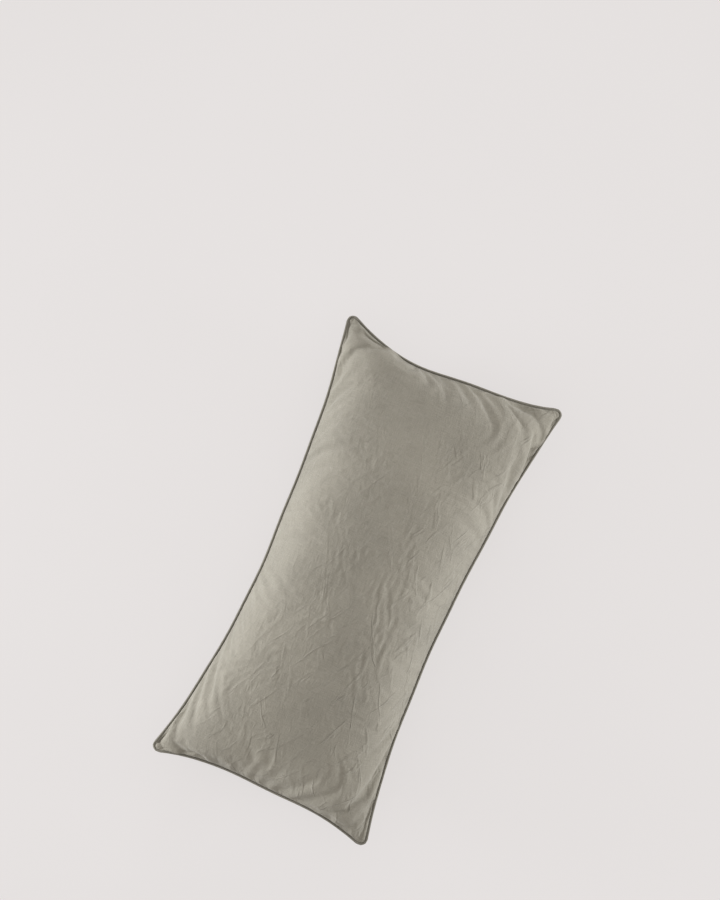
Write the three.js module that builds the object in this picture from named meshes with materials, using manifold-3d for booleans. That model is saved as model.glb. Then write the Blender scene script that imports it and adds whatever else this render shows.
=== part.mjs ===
// A rectangular bed pillow: a piped cotton case with a zip across its back, over a fibre-filled
// insert. Millimetres, +Z up. The pillow lies on its back, its long side along X, and the origin
// is on the ground under its middle.

import * as THREE from 'three';
import { LoftGeometry } from 'three/addons/geometries/LoftGeometry.js';
import { mergeVertices } from 'three/addons/utils/BufferGeometryUtils.js';
import Module from 'manifold-3d';

// ---- Driving dimensions ----

const CASE_LENGTH = 775; // filled case, corner to corner, without its piping
const CASE_WIDTH = 377;
const CORNER_RADIUS = 15;
const SIDE_PULL_IN = 39; // how far each long side is drawn in at its middle
const END_PULL_IN = 31; // the same for each short end
const TOP_CROWN = 88; // height of the front above the seam
const BASE_CROWN = 66; // depth of the back below the seam
const BASE_FLATTENING = 1.16; // over 1: how much of the back lies flat on the ground
const CLOTH = 1.2; // thickness of the case fabric
const CLEARANCE = 0.3; // between pieces that touch or nearly touch

const PIPING_CORD_RADIUS = 1.5;
const PIPING_CLOTH = 0.5; // the bias strip folded over the cord
const PIPING_ALLOWANCE = 6; // the strip's two legs, sewn between the panels

const ZIP_LENGTH = 250; // from stop to stop
const ZIP_INSET = 24; // from the end seam to the middle of the zip, along X
const ZIP_OPENING_HALF = 5.2; // half the slot between the two back pieces
const TAPE_WIDTH = 12;
const TAPE_THICKNESS = 0.6;
const TAPE_END = 12; // tape past each stop
const COIL_WIDTH = 2.1; // one half of the coil
const COIL_HEIGHT = 1.5;
const COIL_GAP = 0.25; // from the zip's middle line to each half

const SLIDER_LENGTH = 9;
const SLIDER_PLATE = 1.0;
const SLIDER_WALL = 0.9;
const WEDGE_WIDTH = 2.4;
const BRIDGE_WIDTH = 1.8;
const BRIDGE_HALF_LENGTH = 2.9;
const BRIDGE_THICKNESS = 0.9;
const STOP_LENGTH = 3;

const TAB_LENGTH = 20;
const TAB_WIDTH = 5.5;
const TAB_THICKNESS = 1.0;
const TAB_BAR = 1.1; // the cross bar that turns under the bridge
const TAB_EYE_LENGTH = 3.7;
const TAB_EYE_WIDTH = 2.7;

const LABEL_LENGTH = 45;
const LABEL_WIDTH = 26;
const LABEL_THICKNESS = 0.4;
const LABEL_FROM_MIDDLE = 250; // along X

const INSERT_SEAM_INSET = 13; // the insert's seam inside the case's
const INSERT_CROWN_GAP = 4; // the insert's crown below the case's
const TICKING = 1.0; // thickness of the insert's cotton shell
const FILL_GAP = 4; // from the ticking to the fibre fill

// ---- Sizes that follow from them ----

const SEAM_GAP = 4 * CLEARANCE + 2 * PIPING_CLOTH; // between the two panels' edges
const SEAM_HEIGHT = BASE_CROWN + SEAM_GAP / 2;
const TAPE_DEPTH = CLOTH + CLEARANCE;
const COIL_OUTER_DEPTH = TAPE_DEPTH - CLEARANCE - COIL_HEIGHT;
const SLIDER_OUTER_DEPTH = COIL_OUTER_DEPTH - CLEARANCE - SLIDER_PLATE;
const SLIDER_BASE_DEPTH = TAPE_DEPTH + TAPE_THICKNESS + CLEARANCE;
const SPLAY = WEDGE_WIDTH / 2 + CLEARANCE - COIL_GAP;
const ZIP_END = ZIP_LENGTH / 2;
const ZIP_FROM_MIDDLE = CASE_LENGTH / 2 - END_PULL_IN - ZIP_INSET;
const SLIDER_PLACE = ZIP_END - STOP_LENGTH - 2 * CLEARANCE - SLIDER_LENGTH / 2;

const COTTON = { color: 0x8f897b, roughness: 0.95, metalness: 0 };
const TICKING_COTTON = { color: 0xece8df, roughness: 0.95, metalness: 0 };
const FIBRE = { color: 0xf6f4ee, roughness: 1, metalness: 0 };
const TAPE_POLYESTER = { color: 0x8a8578, roughness: 0.85, metalness: 0 };
const NYLON = { color: 0x8d887c, roughness: 0.45, metalness: 0 };
const ZINC = { color: 0x9a968d, roughness: 0.35, metalness: 0.9 };
const LABEL_SATIN = { color: 0xf3f1ea, roughness: 0.5, metalness: 0 };

const wasm = await Module();
wasm.setup();

// ---- Helpers ----

function mix(a, b, share) {
  return a + (b - a) * share;
}

function smooth(value, from, to) {
  return THREE.MathUtils.smoothstep(value, from, to);
}

function piece(name, geometry, look) {
  const mesh = new THREE.Mesh(geometry, new THREE.MeshStandardMaterial(look));
  mesh.name = name;
  return mesh;
}

function weld(geometry) {
  geometry.deleteAttribute('normal');
  geometry.deleteAttribute('uv');
  return mergeVertices(geometry, 1e-4);
}

function toSolid(geometry) {
  const welded = weld(geometry);
  const vertProperties = new Float32Array(welded.attributes.position.array);
  const triVerts = new Uint32Array(welded.index.array);
  return new wasm.Manifold(new wasm.Mesh({ numProp: 3, vertProperties, triVerts }));
}

function fromSolid(solid) {
  const { vertProperties, triVerts } = solid.getMesh();
  const geometry = new THREE.BufferGeometry();
  geometry.setAttribute('position', new THREE.BufferAttribute(vertProperties, 3));
  geometry.setIndex(new THREE.BufferAttribute(triVerts, 1));
  return geometry;
}

// Values in equal steps from one end to the other.
function evenLines(from, to, steps) {
  const lines = [];
  for (let i = 0; i <= steps; i += 1) {
    lines.push(mix(from, to, i / steps));
  }
  return lines;
}

// A thin sheet: a box one step thick whose grid points are each put in place by a function.
// The function gets the values of its two lines and whether the point is on the upper side.
function sheet(firstLines, secondLines, place) {
  const rows = firstLines.length - 1;
  const columns = secondLines.length - 1;
  const box = new THREE.BoxGeometry(1, 1, 1, rows, columns, 1);
  const points = box.attributes.position;
  for (let i = 0; i < points.count; i += 1) {
    const first = firstLines[Math.round((points.getX(i) + 0.5) * rows)];
    const second = secondLines[Math.round((points.getY(i) + 0.5) * columns)];
    const put = place(first, second, points.getZ(i) > 0);
    points.setXYZ(i, put.x, put.y, put.z);
  }
  return weld(box);
}

// ---- The filled form ----

// One half of a pillow. side is 1 for the front and -1 for the back. s and t run from -1 to 1
// over the flat cloth, along X and Y, and depth is measured inwards from the outer face.
// inset is how far its seam is inside the case's.
class PillowHalf {
  constructor({ inset, crown, side, seamGap }) {
    Object.assign(this, { inset, crown, side });
    this.halfLength = CASE_LENGTH / 2 - inset;
    this.halfWidth = CASE_WIDTH / 2 - inset;
    this.seamHeight = SEAM_HEIGHT + (side * seamGap) / 2;
  }

  // Rounds the flat cloth's corners.
  roundCorner(x, y) {
    const straightX = this.halfLength - CORNER_RADIUS;
    const straightY = this.halfWidth - CORNER_RADIUS;
    const a = (Math.abs(x) - straightX) / CORNER_RADIUS;
    const b = (Math.abs(y) - straightY) / CORNER_RADIUS;
    if (a <= 0 || b <= 0) {
      return [x, y];
    }
    const roundX = straightX + CORNER_RADIUS * a * Math.sqrt(1 - (b * b) / 2);
    const roundY = straightY + CORNER_RADIUS * b * Math.sqrt(1 - (a * a) / 2);
    return [Math.sign(x) * roundX, Math.sign(y) * roundY];
  }

  // The filled outline: both pairs of sides are drawn in between the corners.
  outline(s, t) {
    const [x, y] = this.roundCorner(s * this.halfLength, t * this.halfWidth);
    const along = Math.min(Math.abs(x) / this.halfLength, 1);
    const across = Math.min(Math.abs(y) / this.halfWidth, 1);
    const endPull = END_PULL_IN * (1 - across ** 3.2);
    const sidePull = SIDE_PULL_IN * (1 - along ** 2.3);
    return [x * (1 - endPull / this.halfLength), y * (1 - sidePull / this.halfWidth)];
  }

  // The crown's height above or below the seam.
  rise(s, t) {
    const full = Math.max(1 - s * s, 0) ** 0.3 * Math.max(1 - t * t, 0) ** 0.4;
    if (this.side > 0) {
      return this.crown * full;
    }
    return this.crown * Math.min(full * BASE_FLATTENING, 1);
  }

  // How far the back is straightened along Y at a place, from 0 to 1: fully round the zip.
  straightening(x, y) {
    const near = smooth(-x - this.inset, ZIP_FROM_MIDDLE - 58, ZIP_FROM_MIDDLE - 18);
    const far = 1 - smooth(-x + this.inset, ZIP_FROM_MIDDLE + 9, ZIP_FROM_MIDDLE + ZIP_INSET);
    const across = Math.abs(y) + this.inset;
    return near * far * (1 - smooth(across, ZIP_END + TAPE_END + 2, CASE_WIDTH / 2 - 9));
  }

  surface(s, t) {
    const [x, y] = this.outline(s, t);
    const z = this.seamHeight + this.side * this.rise(s, t);
    if (this.side > 0) {
      return new THREE.Vector3(x, y, z);
    }
    const [middleX] = this.outline(s, 0);
    const share = this.straightening(middleX, y);
    return new THREE.Vector3(
      mix(x, middleX, share),
      y,
      mix(z, this.seamHeight - this.rise(s, 0), share),
    );
  }

  normal(s, t) {
    const step = 0.002;
    const s0 = THREE.MathUtils.clamp(s, -0.994, 0.994);
    const t0 = THREE.MathUtils.clamp(t, -0.99, 0.99);
    const alongS = this.surface(s0 + step, t0).sub(this.surface(s0 - step, t0));
    const alongT = this.surface(s0, t0 + step).sub(this.surface(s0, t0 - step));
    const normal = alongS.cross(alongT).multiplyScalar(this.side);
    if (Math.abs(s) > 0.9999 || Math.abs(t) > 0.9999) {
      normal.z = 0;
    }
    return normal.normalize();
  }

  point(s, t, depth) {
    return this.surface(s, t).addScaledVector(this.normal(s, t), -depth);
  }
}

function caseHalf(side) {
  return new PillowHalf({
    inset: 0,
    crown: side > 0 ? TOP_CROWN : BASE_CROWN,
    side,
    seamGap: SEAM_GAP,
  });
}

function insertHalf(side, layersInside) {
  return new PillowHalf({
    inset: INSERT_SEAM_INSET + layersInside,
    crown: (side > 0 ? TOP_CROWN : BASE_CROWN) - INSERT_CROWN_GAP - layersInside,
    side,
    seamGap: 2 * CLEARANCE,
  });
}

// s and t run in equal steps of angle, so the grid is finer towards the seams.
function arcLines(from, to, steps) {
  return evenLines(Math.asin(from), Math.asin(to), steps).map(Math.sin);
}

function wholePanel(half, alongSteps, acrossSteps, thickness) {
  const place = (s, t, upper) => half.point(s, t, upper === half.side > 0 ? 0 : thickness);
  return sheet(arcLines(-1, 1, alongSteps), arcLines(-1, 1, acrossSteps), place);
}

// ---- The zip's place on the back ----

const back = caseHalf(-1);
const zipLine = -ZIP_FROM_MIDDLE / (ZIP_FROM_MIDDLE + ZIP_INSET); // the zip's s
const zipMiddle = back.surface(zipLine, 0);
const zipOutward = back.normal(zipLine, 0);
const zipPerLine = back.surface(zipLine + 0.001, 0).distanceTo(zipMiddle) / 0.001; // mm per s
const zipWidthScale = back.outline(zipLine, 1)[1]; // mm per t

// A point of the back, w mm from the zip's middle line towards the pillow's middle and y mm
// along it.
function besideZip(w, y, depth) {
  return back.point(zipLine + w / zipPerLine, y / zipWidthScale, depth);
}

// Half the slot: open along the zip, sewn shut past its ends.
function slotHalf(t) {
  const closing = smooth(Math.abs(t) * zipWidthScale, ZIP_END + 3, ZIP_END + 8);
  return mix(ZIP_OPENING_HALF, CLOTH, closing) / zipPerLine;
}

// Lines across the back, with one at each end of the slot and of the tape.
function backAcrossLines() {
  const open = (ZIP_END + 3) / zipWidthScale;
  const shut = (ZIP_END + 8) / zipWidthScale;
  const tapeEnd = (ZIP_END + TAPE_END + 2) / zipWidthScale;
  const side = [shut, ...arcLines(tapeEnd, 1, 4)];
  return [...side.map((t) => -t).reverse(), ...evenLines(-open, open, 12), ...side];
}

// Where the cloth over the tape and the tape under it both bend, across the zip.
const tapeBends = [mix(ZIP_OPENING_HALF, TAPE_WIDTH, 0.5), TAPE_WIDTH];

// One of the two back pieces, from the slot's edge over the tape and on to its own end.
// hand is 1 for the large one and -1 for the strip at the end.
function backPiece(hand, steps) {
  const overTape = tapeBends.map((w) => zipLine + (hand * w) / zipPerLine);
  const rest = arcLines(overTape[1], hand, steps).slice(1);
  const places = ['slot', ...overTape, ...rest];
  const place = (line, t, upper) => {
    const s = line === 'slot' ? zipLine + hand * slotHalf(t) : line;
    return back.point(s, t, upper ? CLOTH : 0);
  };
  return sheet(hand > 0 ? places : places.reverse(), backAcrossLines(), place);
}

// ---- Piping ----

// Stations round the outline, each with its place and the outward direction in the seam's plane.
function seamStations() {
  const front = caseHalf(1);
  const along = arcLines(-1, 1, 26);
  const across = arcLines(-1, 1, 14);
  const lap = [
    ...along.slice(0, -1).map((s) => [s, -1]),
    ...across.slice(0, -1).map((t) => [1, t]),
    ...along.slice(1).reverse().map((s) => [s, 1]),
    ...across.slice(1).reverse().map((t) => [-1, t]),
  ];
  const places = lap.map(([s, t]) => new THREE.Vector2(...front.outline(s, t)));
  return places.map((place, i) => {
    const before = places[(i + places.length - 1) % places.length];
    const after = places[(i + 1) % places.length];
    const run = after.clone().sub(before).normalize();
    return { place, outward: new THREE.Vector2(run.y, -run.x) };
  });
}

// Sweeps a closed section round the seam. Section points are [outward, up] from the seam line,
// in anticlockwise order, and the loft wants them the other way round.
function roundTheSeam(section) {
  const stations = seamStations();
  const turned = [...section].reverse();
  const rings = [...stations, stations[0]].map(({ place, outward }) =>
    turned.map(([out, up]) => new THREE.Vector3(
      place.x + outward.x * out,
      place.y + outward.y * out,
      SEAM_HEIGHT + up,
    )),
  );
  return weld(new LoftGeometry(rings));
}

const bulbInner = PIPING_CORD_RADIUS + CLEARANCE;
const bulbOuter = bulbInner + PIPING_CLOTH;
const bulbCentre = bulbOuter + 2 * CLEARANCE;

function arcPoints(radius, from, to, steps) {
  return evenLines(from, to, steps).map((angle) => [
    bulbCentre + radius * Math.cos(angle),
    radius * Math.sin(angle),
  ]);
}

// A strip folded round the cord, its two legs running in between the panels with a slit
// between them.
function pipingCover() {
  const legOuter = CLEARANCE + PIPING_CLOTH;
  const legInner = CLEARANCE;
  const outerTurn = Math.PI - Math.asin(legOuter / bulbOuter);
  const innerTurn = Math.PI - Math.asin(legInner / bulbInner);
  return roundTheSeam([
    [-PIPING_ALLOWANCE, -legInner],
    [-PIPING_ALLOWANCE, -legOuter],
    ...arcPoints(bulbOuter, -outerTurn, outerTurn, 8),
    [-PIPING_ALLOWANCE, legOuter],
    [-PIPING_ALLOWANCE, legInner],
    ...arcPoints(bulbInner, innerTurn, -innerTurn, 6),
  ]);
}

function pipingCord() {
  return roundTheSeam(arcPoints(PIPING_CORD_RADIUS, 0, 2 * Math.PI, 8).slice(0, -1));
}

// ---- Zip: across is w, along is y, and z is depth into the pillow ----

// The two halves part round the slider's wedge.
function splayAt(y) {
  return SPLAY * smooth(y, SLIDER_PLACE - 1.8, SLIDER_PLACE + 1.9);
}

function zipLines(from, to) {
  const partStart = SLIDER_PLACE - 2.5;
  const partEnd = SLIDER_PLACE + 2.5;
  return [...evenLines(from, partStart, 14), ...evenLines(partStart, partEnd, 6).slice(1), to];
}

function zipTape(hand) {
  const ends = ZIP_END + TAPE_END;
  const widths = ['edge', ZIP_OPENING_HALF, ...tapeBends];
  const place = (line, y, upper) => {
    const w = line === 'edge' ? COIL_GAP + 0.1 + splayAt(y) : line;
    return besideZip(hand * w, y, upper ? TAPE_DEPTH + TAPE_THICKNESS : TAPE_DEPTH);
  };
  return sheet(hand > 0 ? widths : widths.reverse(), zipLines(-ends, ends), place);
}

function zipCoil(hand) {
  const from = -ZIP_END + STOP_LENGTH + 1 + CLEARANCE;
  const to = ZIP_END - STOP_LENGTH - CLEARANCE;
  const middleDepth = COIL_OUTER_DEPTH + COIL_HEIGHT / 2;
  const rings = zipLines(from, to).map((y) => {
    const w = hand * (COIL_GAP + splayAt(y) + COIL_WIDTH / 2);
    return evenLines(0, 2 * Math.PI, 8).slice(0, -1).map((angle) => new THREE.Vector3(
      w + (COIL_WIDTH / 2) * Math.cos(angle),
      y,
      middleDepth - (COIL_HEIGHT / 2) * Math.sin(angle),
    ));
  });
  return weld(new LoftGeometry(rings, { capStart: true, capEnd: true }));
}

function extrudeDepth(shape, fromDepth, toDepth) {
  const geometry = new THREE.ExtrudeGeometry(shape, {
    depth: toDepth - fromDepth,
    bevelEnabled: false,
    curveSegments: 6,
  });
  return geometry.translate(0, 0, fromDepth);
}

// The slider's outline: narrow behind, where the closed coil leaves, and wide in front.
function sliderOutline(extra) {
  const rear = COIL_GAP + COIL_WIDTH + CLEARANCE + 0.1 + extra;
  const front = rear + SPLAY;
  const half = SLIDER_LENGTH / 2;
  const shape = new THREE.Shape();
  shape.moveTo(-rear, -half);
  shape.lineTo(rear, -half);
  shape.lineTo(rear, -half + 2.6);
  shape.bezierCurveTo(rear, -0.6, front, 0, front, 1.6);
  shape.lineTo(front, half);
  shape.lineTo(-front, half);
  shape.lineTo(-front, 1.6);
  shape.bezierCurveTo(-front, 0, -rear, -0.6, -rear, -half + 2.6);
  shape.closePath();
  return shape;
}

function wedgeOutline() {
  const half = WEDGE_WIDTH / 2;
  const front = SLIDER_LENGTH / 2;
  const shape = new THREE.Shape();
  shape.moveTo(0, 0.4);
  shape.lineTo(half, 2.4);
  shape.lineTo(half, front - 0.8);
  shape.lineTo(0, front - 0.1);
  shape.lineTo(-half, front - 0.8);
  shape.lineTo(-half, 2.4);
  shape.closePath();
  return shape;
}

// The arch that holds the pull tab's bar, drawn in the plane of y and depth.
function bridgeSolid() {
  const innerHeight = TAB_BAR + 2 * CLEARANCE;
  const outerHeight = innerHeight + BRIDGE_THICKNESS;
  const outer = BRIDGE_HALF_LENGTH;
  const inner = outer - BRIDGE_THICKNESS;
  const root = SLIDER_PLATE / 2;
  const shape = new THREE.Shape();
  shape.moveTo(-outer, root);
  shape.lineTo(-outer, 0.5 - innerHeight);
  shape.quadraticCurveTo(-outer, -outerHeight, -outer + 1.3, -outerHeight);
  shape.lineTo(outer - 1.3, -outerHeight);
  shape.quadraticCurveTo(outer, -outerHeight, outer, 0.5 - innerHeight);
  shape.lineTo(outer, root);
  shape.lineTo(inner, root);
  shape.lineTo(inner, -innerHeight);
  shape.lineTo(-inner, -innerHeight);
  shape.lineTo(-inner, root);
  shape.closePath();
  const geometry = new THREE.ExtrudeGeometry(shape, {
    depth: BRIDGE_WIDTH,
    bevelEnabled: false,
    curveSegments: 4,
  });
  geometry.translate(0, 0, -BRIDGE_WIDTH / 2);
  const toZip = new THREE.Matrix4().makeBasis(
    new THREE.Vector3(0, 1, 0),
    new THREE.Vector3(0, 0, 1),
    new THREE.Vector3(1, 0, 0),
  );
  geometry.applyMatrix4(toZip);
  return toSolid(geometry.translate(0, 0, SLIDER_OUTER_DEPTH));
}

function zipSlider() {
  const wallDepth = TAPE_DEPTH - CLEARANCE;
  const channelDepth = SLIDER_OUTER_DEPTH + SLIDER_PLATE;
  const outerShell = toSolid(extrudeDepth(sliderOutline(SLIDER_WALL), SLIDER_OUTER_DEPTH, wallDepth));
  const channel = toSolid(extrudeDepth(sliderOutline(0), channelDepth, wallDepth + 1)
    .scale(1, 1.2, 1));
  const basePlate = toSolid(extrudeDepth(
    sliderOutline(SLIDER_WALL),
    SLIDER_BASE_DEPTH,
    SLIDER_BASE_DEPTH + SLIDER_PLATE,
  ));
  const wedge = toSolid(extrudeDepth(
    wedgeOutline(),
    channelDepth - SLIDER_PLATE / 2,
    SLIDER_BASE_DEPTH + SLIDER_PLATE / 2,
  ));
  return fromSolid(outerShell.subtract(channel).add(basePlate).add(wedge).add(bridgeSolid()));
}

// The tab, its bar on the hinge line and its length along -z.
function pullTab() {
  const half = TAB_WIDTH / 2;
  const barHalf = TAB_BAR / 2;
  const shape = new THREE.Shape();
  shape.moveTo(-half, -barHalf);
  shape.lineTo(half, -barHalf);
  shape.lineTo(half, TAB_LENGTH - half);
  shape.absarc(0, TAB_LENGTH - half, half, 0, Math.PI, false);
  shape.lineTo(-half, -barHalf);
  const eye = new THREE.Path();
  eye.moveTo(-TAB_EYE_WIDTH / 2, barHalf);
  eye.lineTo(-TAB_EYE_WIDTH / 2, barHalf + TAB_EYE_LENGTH);
  eye.lineTo(TAB_EYE_WIDTH / 2, barHalf + TAB_EYE_LENGTH);
  eye.lineTo(TAB_EYE_WIDTH / 2, barHalf);
  eye.closePath();
  const gripHole = new THREE.Path();
  gripHole.absarc(0, TAB_LENGTH - half, TAB_WIDTH / 4, 0, 2 * Math.PI, true);
  shape.holes.push(eye, gripHole);
  const geometry = new THREE.ExtrudeGeometry(shape, {
    depth: TAB_THICKNESS,
    bevelEnabled: false,
    curveSegments: 8,
  });
  geometry.translate(0, 0, -TAB_THICKNESS / 2);
  return weld(geometry.rotateX(-Math.PI / 2));
}

// A small clamp over the coil: w is its middle.
function zipStop(w, width, length, y) {
  const height = COIL_HEIGHT + 0.2;
  const box = new THREE.BoxGeometry(width, length, height);
  return weld(box.translate(w, y, TAPE_DEPTH - CLEARANCE - height / 2));
}

// ---- Label and insert ----

// The angle down the back, from beside the seam, that takes up a length of cloth.
function angleAfter(s, from, length) {
  const step = 0.002;
  let angle = from;
  let walked = 0;
  while (walked < length) {
    const here = back.surface(s, Math.sin(angle));
    angle -= step;
    walked += back.surface(s, Math.sin(angle)).distanceTo(here);
  }
  return angle;
}

function careLabel() {
  const middle = -LABEL_FROM_MIDDLE / back.halfLength;
  const halfS = LABEL_WIDTH / 2 / back.halfLength;
  const seamAngle = Math.asin(1 - (PIPING_ALLOWANCE + 3) / back.halfWidth);
  const freeAngle = angleAfter(middle, seamAngle, LABEL_LENGTH);
  const depth = CLOTH + 3 * CLEARANCE;
  return sheet(
    evenLines(middle - halfS, middle + halfS, 2),
    evenLines(freeAngle, seamAngle, 9),
    (s, angle, upper) => back.point(s, Math.sin(angle), upper ? depth + LABEL_THICKNESS : depth),
  );
}

function insertFill() {
  const inside = TICKING + FILL_GAP;
  const top = insertHalf(1, inside);
  const bottom = insertHalf(-1, inside);
  const place = (s, t, upper) => (upper ? top : bottom).surface(s, t);
  return sheet(arcLines(-1, 1, 18), arcLines(-1, 1, 12), place);
}

// ---- Assembly ----

const pillow = new THREE.Group();

pillow.add(
  piece('case_front_panel', wholePanel(caseHalf(1), 26, 14, CLOTH), COTTON),
  piece('case_back_panel', backPiece(1, 22), COTTON),
  piece('case_back_end_strip', backPiece(-1, 3), COTTON),
  piece('piping_cover', pipingCover(), COTTON),
  piece('piping_cord', pipingCord(), TICKING_COTTON),
  piece('zip_tape_body_side', zipTape(1), TAPE_POLYESTER),
  piece('zip_tape_end_side', zipTape(-1), TAPE_POLYESTER),
  piece('care_label', careLabel(), LABEL_SATIN),
  piece('insert_top_panel', wholePanel(insertHalf(1, 0), 18, 12, TICKING), TICKING_COTTON),
  piece('insert_bottom_panel', wholePanel(insertHalf(-1, 0), 18, 12, TICKING), TICKING_COTTON),
  piece('insert_fill', insertFill(), FIBRE),
);

const zip = new THREE.Group();
zip.position.copy(zipMiddle);
zip.quaternion.setFromRotationMatrix(new THREE.Matrix4().makeBasis(
  new THREE.Vector3(0, 1, 0).cross(zipOutward.clone().negate()),
  new THREE.Vector3(0, 1, 0),
  zipOutward.clone().negate(),
));

const stopMiddle = COIL_GAP + COIL_WIDTH / 2 + SPLAY;
zip.add(
  piece('zip_coil_body_side', zipCoil(1), NYLON),
  piece('zip_coil_end_side', zipCoil(-1), NYLON),
  piece('zip_top_stop_body_side', zipStop(stopMiddle, 2.4, STOP_LENGTH, ZIP_END - STOP_LENGTH / 2), ZINC),
  piece('zip_top_stop_end_side', zipStop(-stopMiddle, 2.4, STOP_LENGTH, ZIP_END - STOP_LENGTH / 2), ZINC),
  piece('zip_bottom_stop', zipStop(0, 5.4, STOP_LENGTH + 1, -ZIP_END + (STOP_LENGTH + 1) / 2), ZINC),
);

const slider = piece('zip_slider', zipSlider(), ZINC);
slider.position.y = SLIDER_PLACE;
zip.add(slider);

const tab = piece('zip_pull_tab', pullTab(), ZINC);
tab.position.set(0, SLIDER_PLACE, SLIDER_OUTER_DEPTH - CLEARANCE - TAB_BAR / 2);
zip.add(tab);

pillow.add(zip);

export default pillow;
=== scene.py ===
# %% [markdown]
# # A piped bed pillow
# A long bed pillow lies on its back. Outside it is a case of washed cotton: a front panel, a back
# panel and a narrow end strip, with a zip between those two and a thin piping all round. Inside
# is a ticking insert full of fibre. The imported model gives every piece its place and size. This
# script gives the pieces their cloth, thread and metal.

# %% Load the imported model
import math

import bpy
import numpy as np
from mathutils import Matrix, Vector


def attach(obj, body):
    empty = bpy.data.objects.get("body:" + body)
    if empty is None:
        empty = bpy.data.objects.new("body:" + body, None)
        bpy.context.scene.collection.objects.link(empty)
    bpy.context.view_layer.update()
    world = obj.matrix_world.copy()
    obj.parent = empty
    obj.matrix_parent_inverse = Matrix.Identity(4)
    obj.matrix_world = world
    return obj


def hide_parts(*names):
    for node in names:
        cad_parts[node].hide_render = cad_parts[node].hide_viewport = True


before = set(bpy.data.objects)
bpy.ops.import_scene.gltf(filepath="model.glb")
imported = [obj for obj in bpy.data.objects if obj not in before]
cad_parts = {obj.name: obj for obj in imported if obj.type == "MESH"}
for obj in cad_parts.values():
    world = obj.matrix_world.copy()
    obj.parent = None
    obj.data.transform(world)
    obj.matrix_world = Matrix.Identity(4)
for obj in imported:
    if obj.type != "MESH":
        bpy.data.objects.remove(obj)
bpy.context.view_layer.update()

scene = bpy.context.scene

# %% [markdown]
# ## Camera, floor and light
# The pillow is seen from straight above, turned so that its long side leans. A long lens keeps
# the view nearly parallel. The floor is a plain pale sheet that glows a little, as a light table
# does, so that no hard shadow falls beside the pillow. The surroundings are bright and even, and
# two wide lamps stand low at the left and right, with a weaker one above the pillow's far end.
# They light the cloth where it curves down to its seam and leave the middle darker, and their low
# angle shows every fold. Their beams are narrow, so that the floor in front of them stays even.

# %% Camera
LEAN = math.radians(24.6)
picture_right = Vector((math.sin(LEAN), -math.cos(LEAN), 0))
picture_up = Vector((math.cos(LEAN), math.sin(LEAN), 0))

lens = bpy.data.cameras.new("camera")
lens.lens = 100
lens.sensor_width = 36
camera = bpy.data.objects.new("camera", lens)
camera.location = (0.1925, 0.0833, 4.095)
camera.rotation_euler = (0, 0, LEAN - math.pi / 2)
scene.collection.objects.link(camera)
scene.camera = camera
scene.view_settings.view_transform = "Standard"

# %% Lamps and surroundings
LAMP_WIDTH, LAMP_HEIGHT = 1.1, 0.5
LAMP_TINT = (0.935, 0.957, 1.0)
LAMP_BEAM = math.radians(70)
PILLOW_MIDDLE = Vector((0, 0, 0.08))


def lamp(name, sideways, upwards, height, power):
    """A wide lamp at that place round the pillow, aimed at its middle."""
    data = bpy.data.lights.new(name, "AREA")
    data.shape = "RECTANGLE"
    data.size, data.size_y = LAMP_WIDTH, LAMP_HEIGHT
    data.energy = power
    data.color = LAMP_TINT
    data.spread = LAMP_BEAM
    made = bpy.data.objects.new(name, data)
    made.location = picture_right * sideways + picture_up * upwards + Vector((0, 0, height))
    made.rotation_euler = (PILLOW_MIDDLE - made.location).to_track_quat("-Z", "Y").to_euler()
    scene.collection.objects.link(made)


lamp("lamp_left", -2.3, 0.35, 0.36, 10.2)
lamp("lamp_right", 2.4, -0.45, 0.34, 8.2)
lamp("lamp_top", 0.5, 2.6, 0.60, 3.0)

surroundings = bpy.data.worlds.new("surroundings")
surroundings.use_nodes = True
sky = surroundings.node_tree.nodes["Background"]
sky.inputs["Color"].default_value = (0.79, 0.76, 0.74, 1)
sky.inputs["Strength"].default_value = 0.95
scene.world = surroundings

# %% [markdown]
# ## Small helpers
# Materials are node trees. These helpers make a node, set what it holds and join it up, so that
# each material below reads as a list of what the cloth or metal shows.

# %% A new node
def new_node(tree, kind, inputs=None, **settings):
    """Makes a node in the tree, with its inputs set to values or joined to other nodes."""
    made = tree.nodes.new(kind)
    for label, value in settings.items():
        setattr(made, label, value)
    for label, value in (inputs or {}).items():
        if isinstance(value, bpy.types.NodeSocket):
            tree.links.new(value, made.inputs[label])
        else:
            made.inputs[label].default_value = value
    return made

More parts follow.
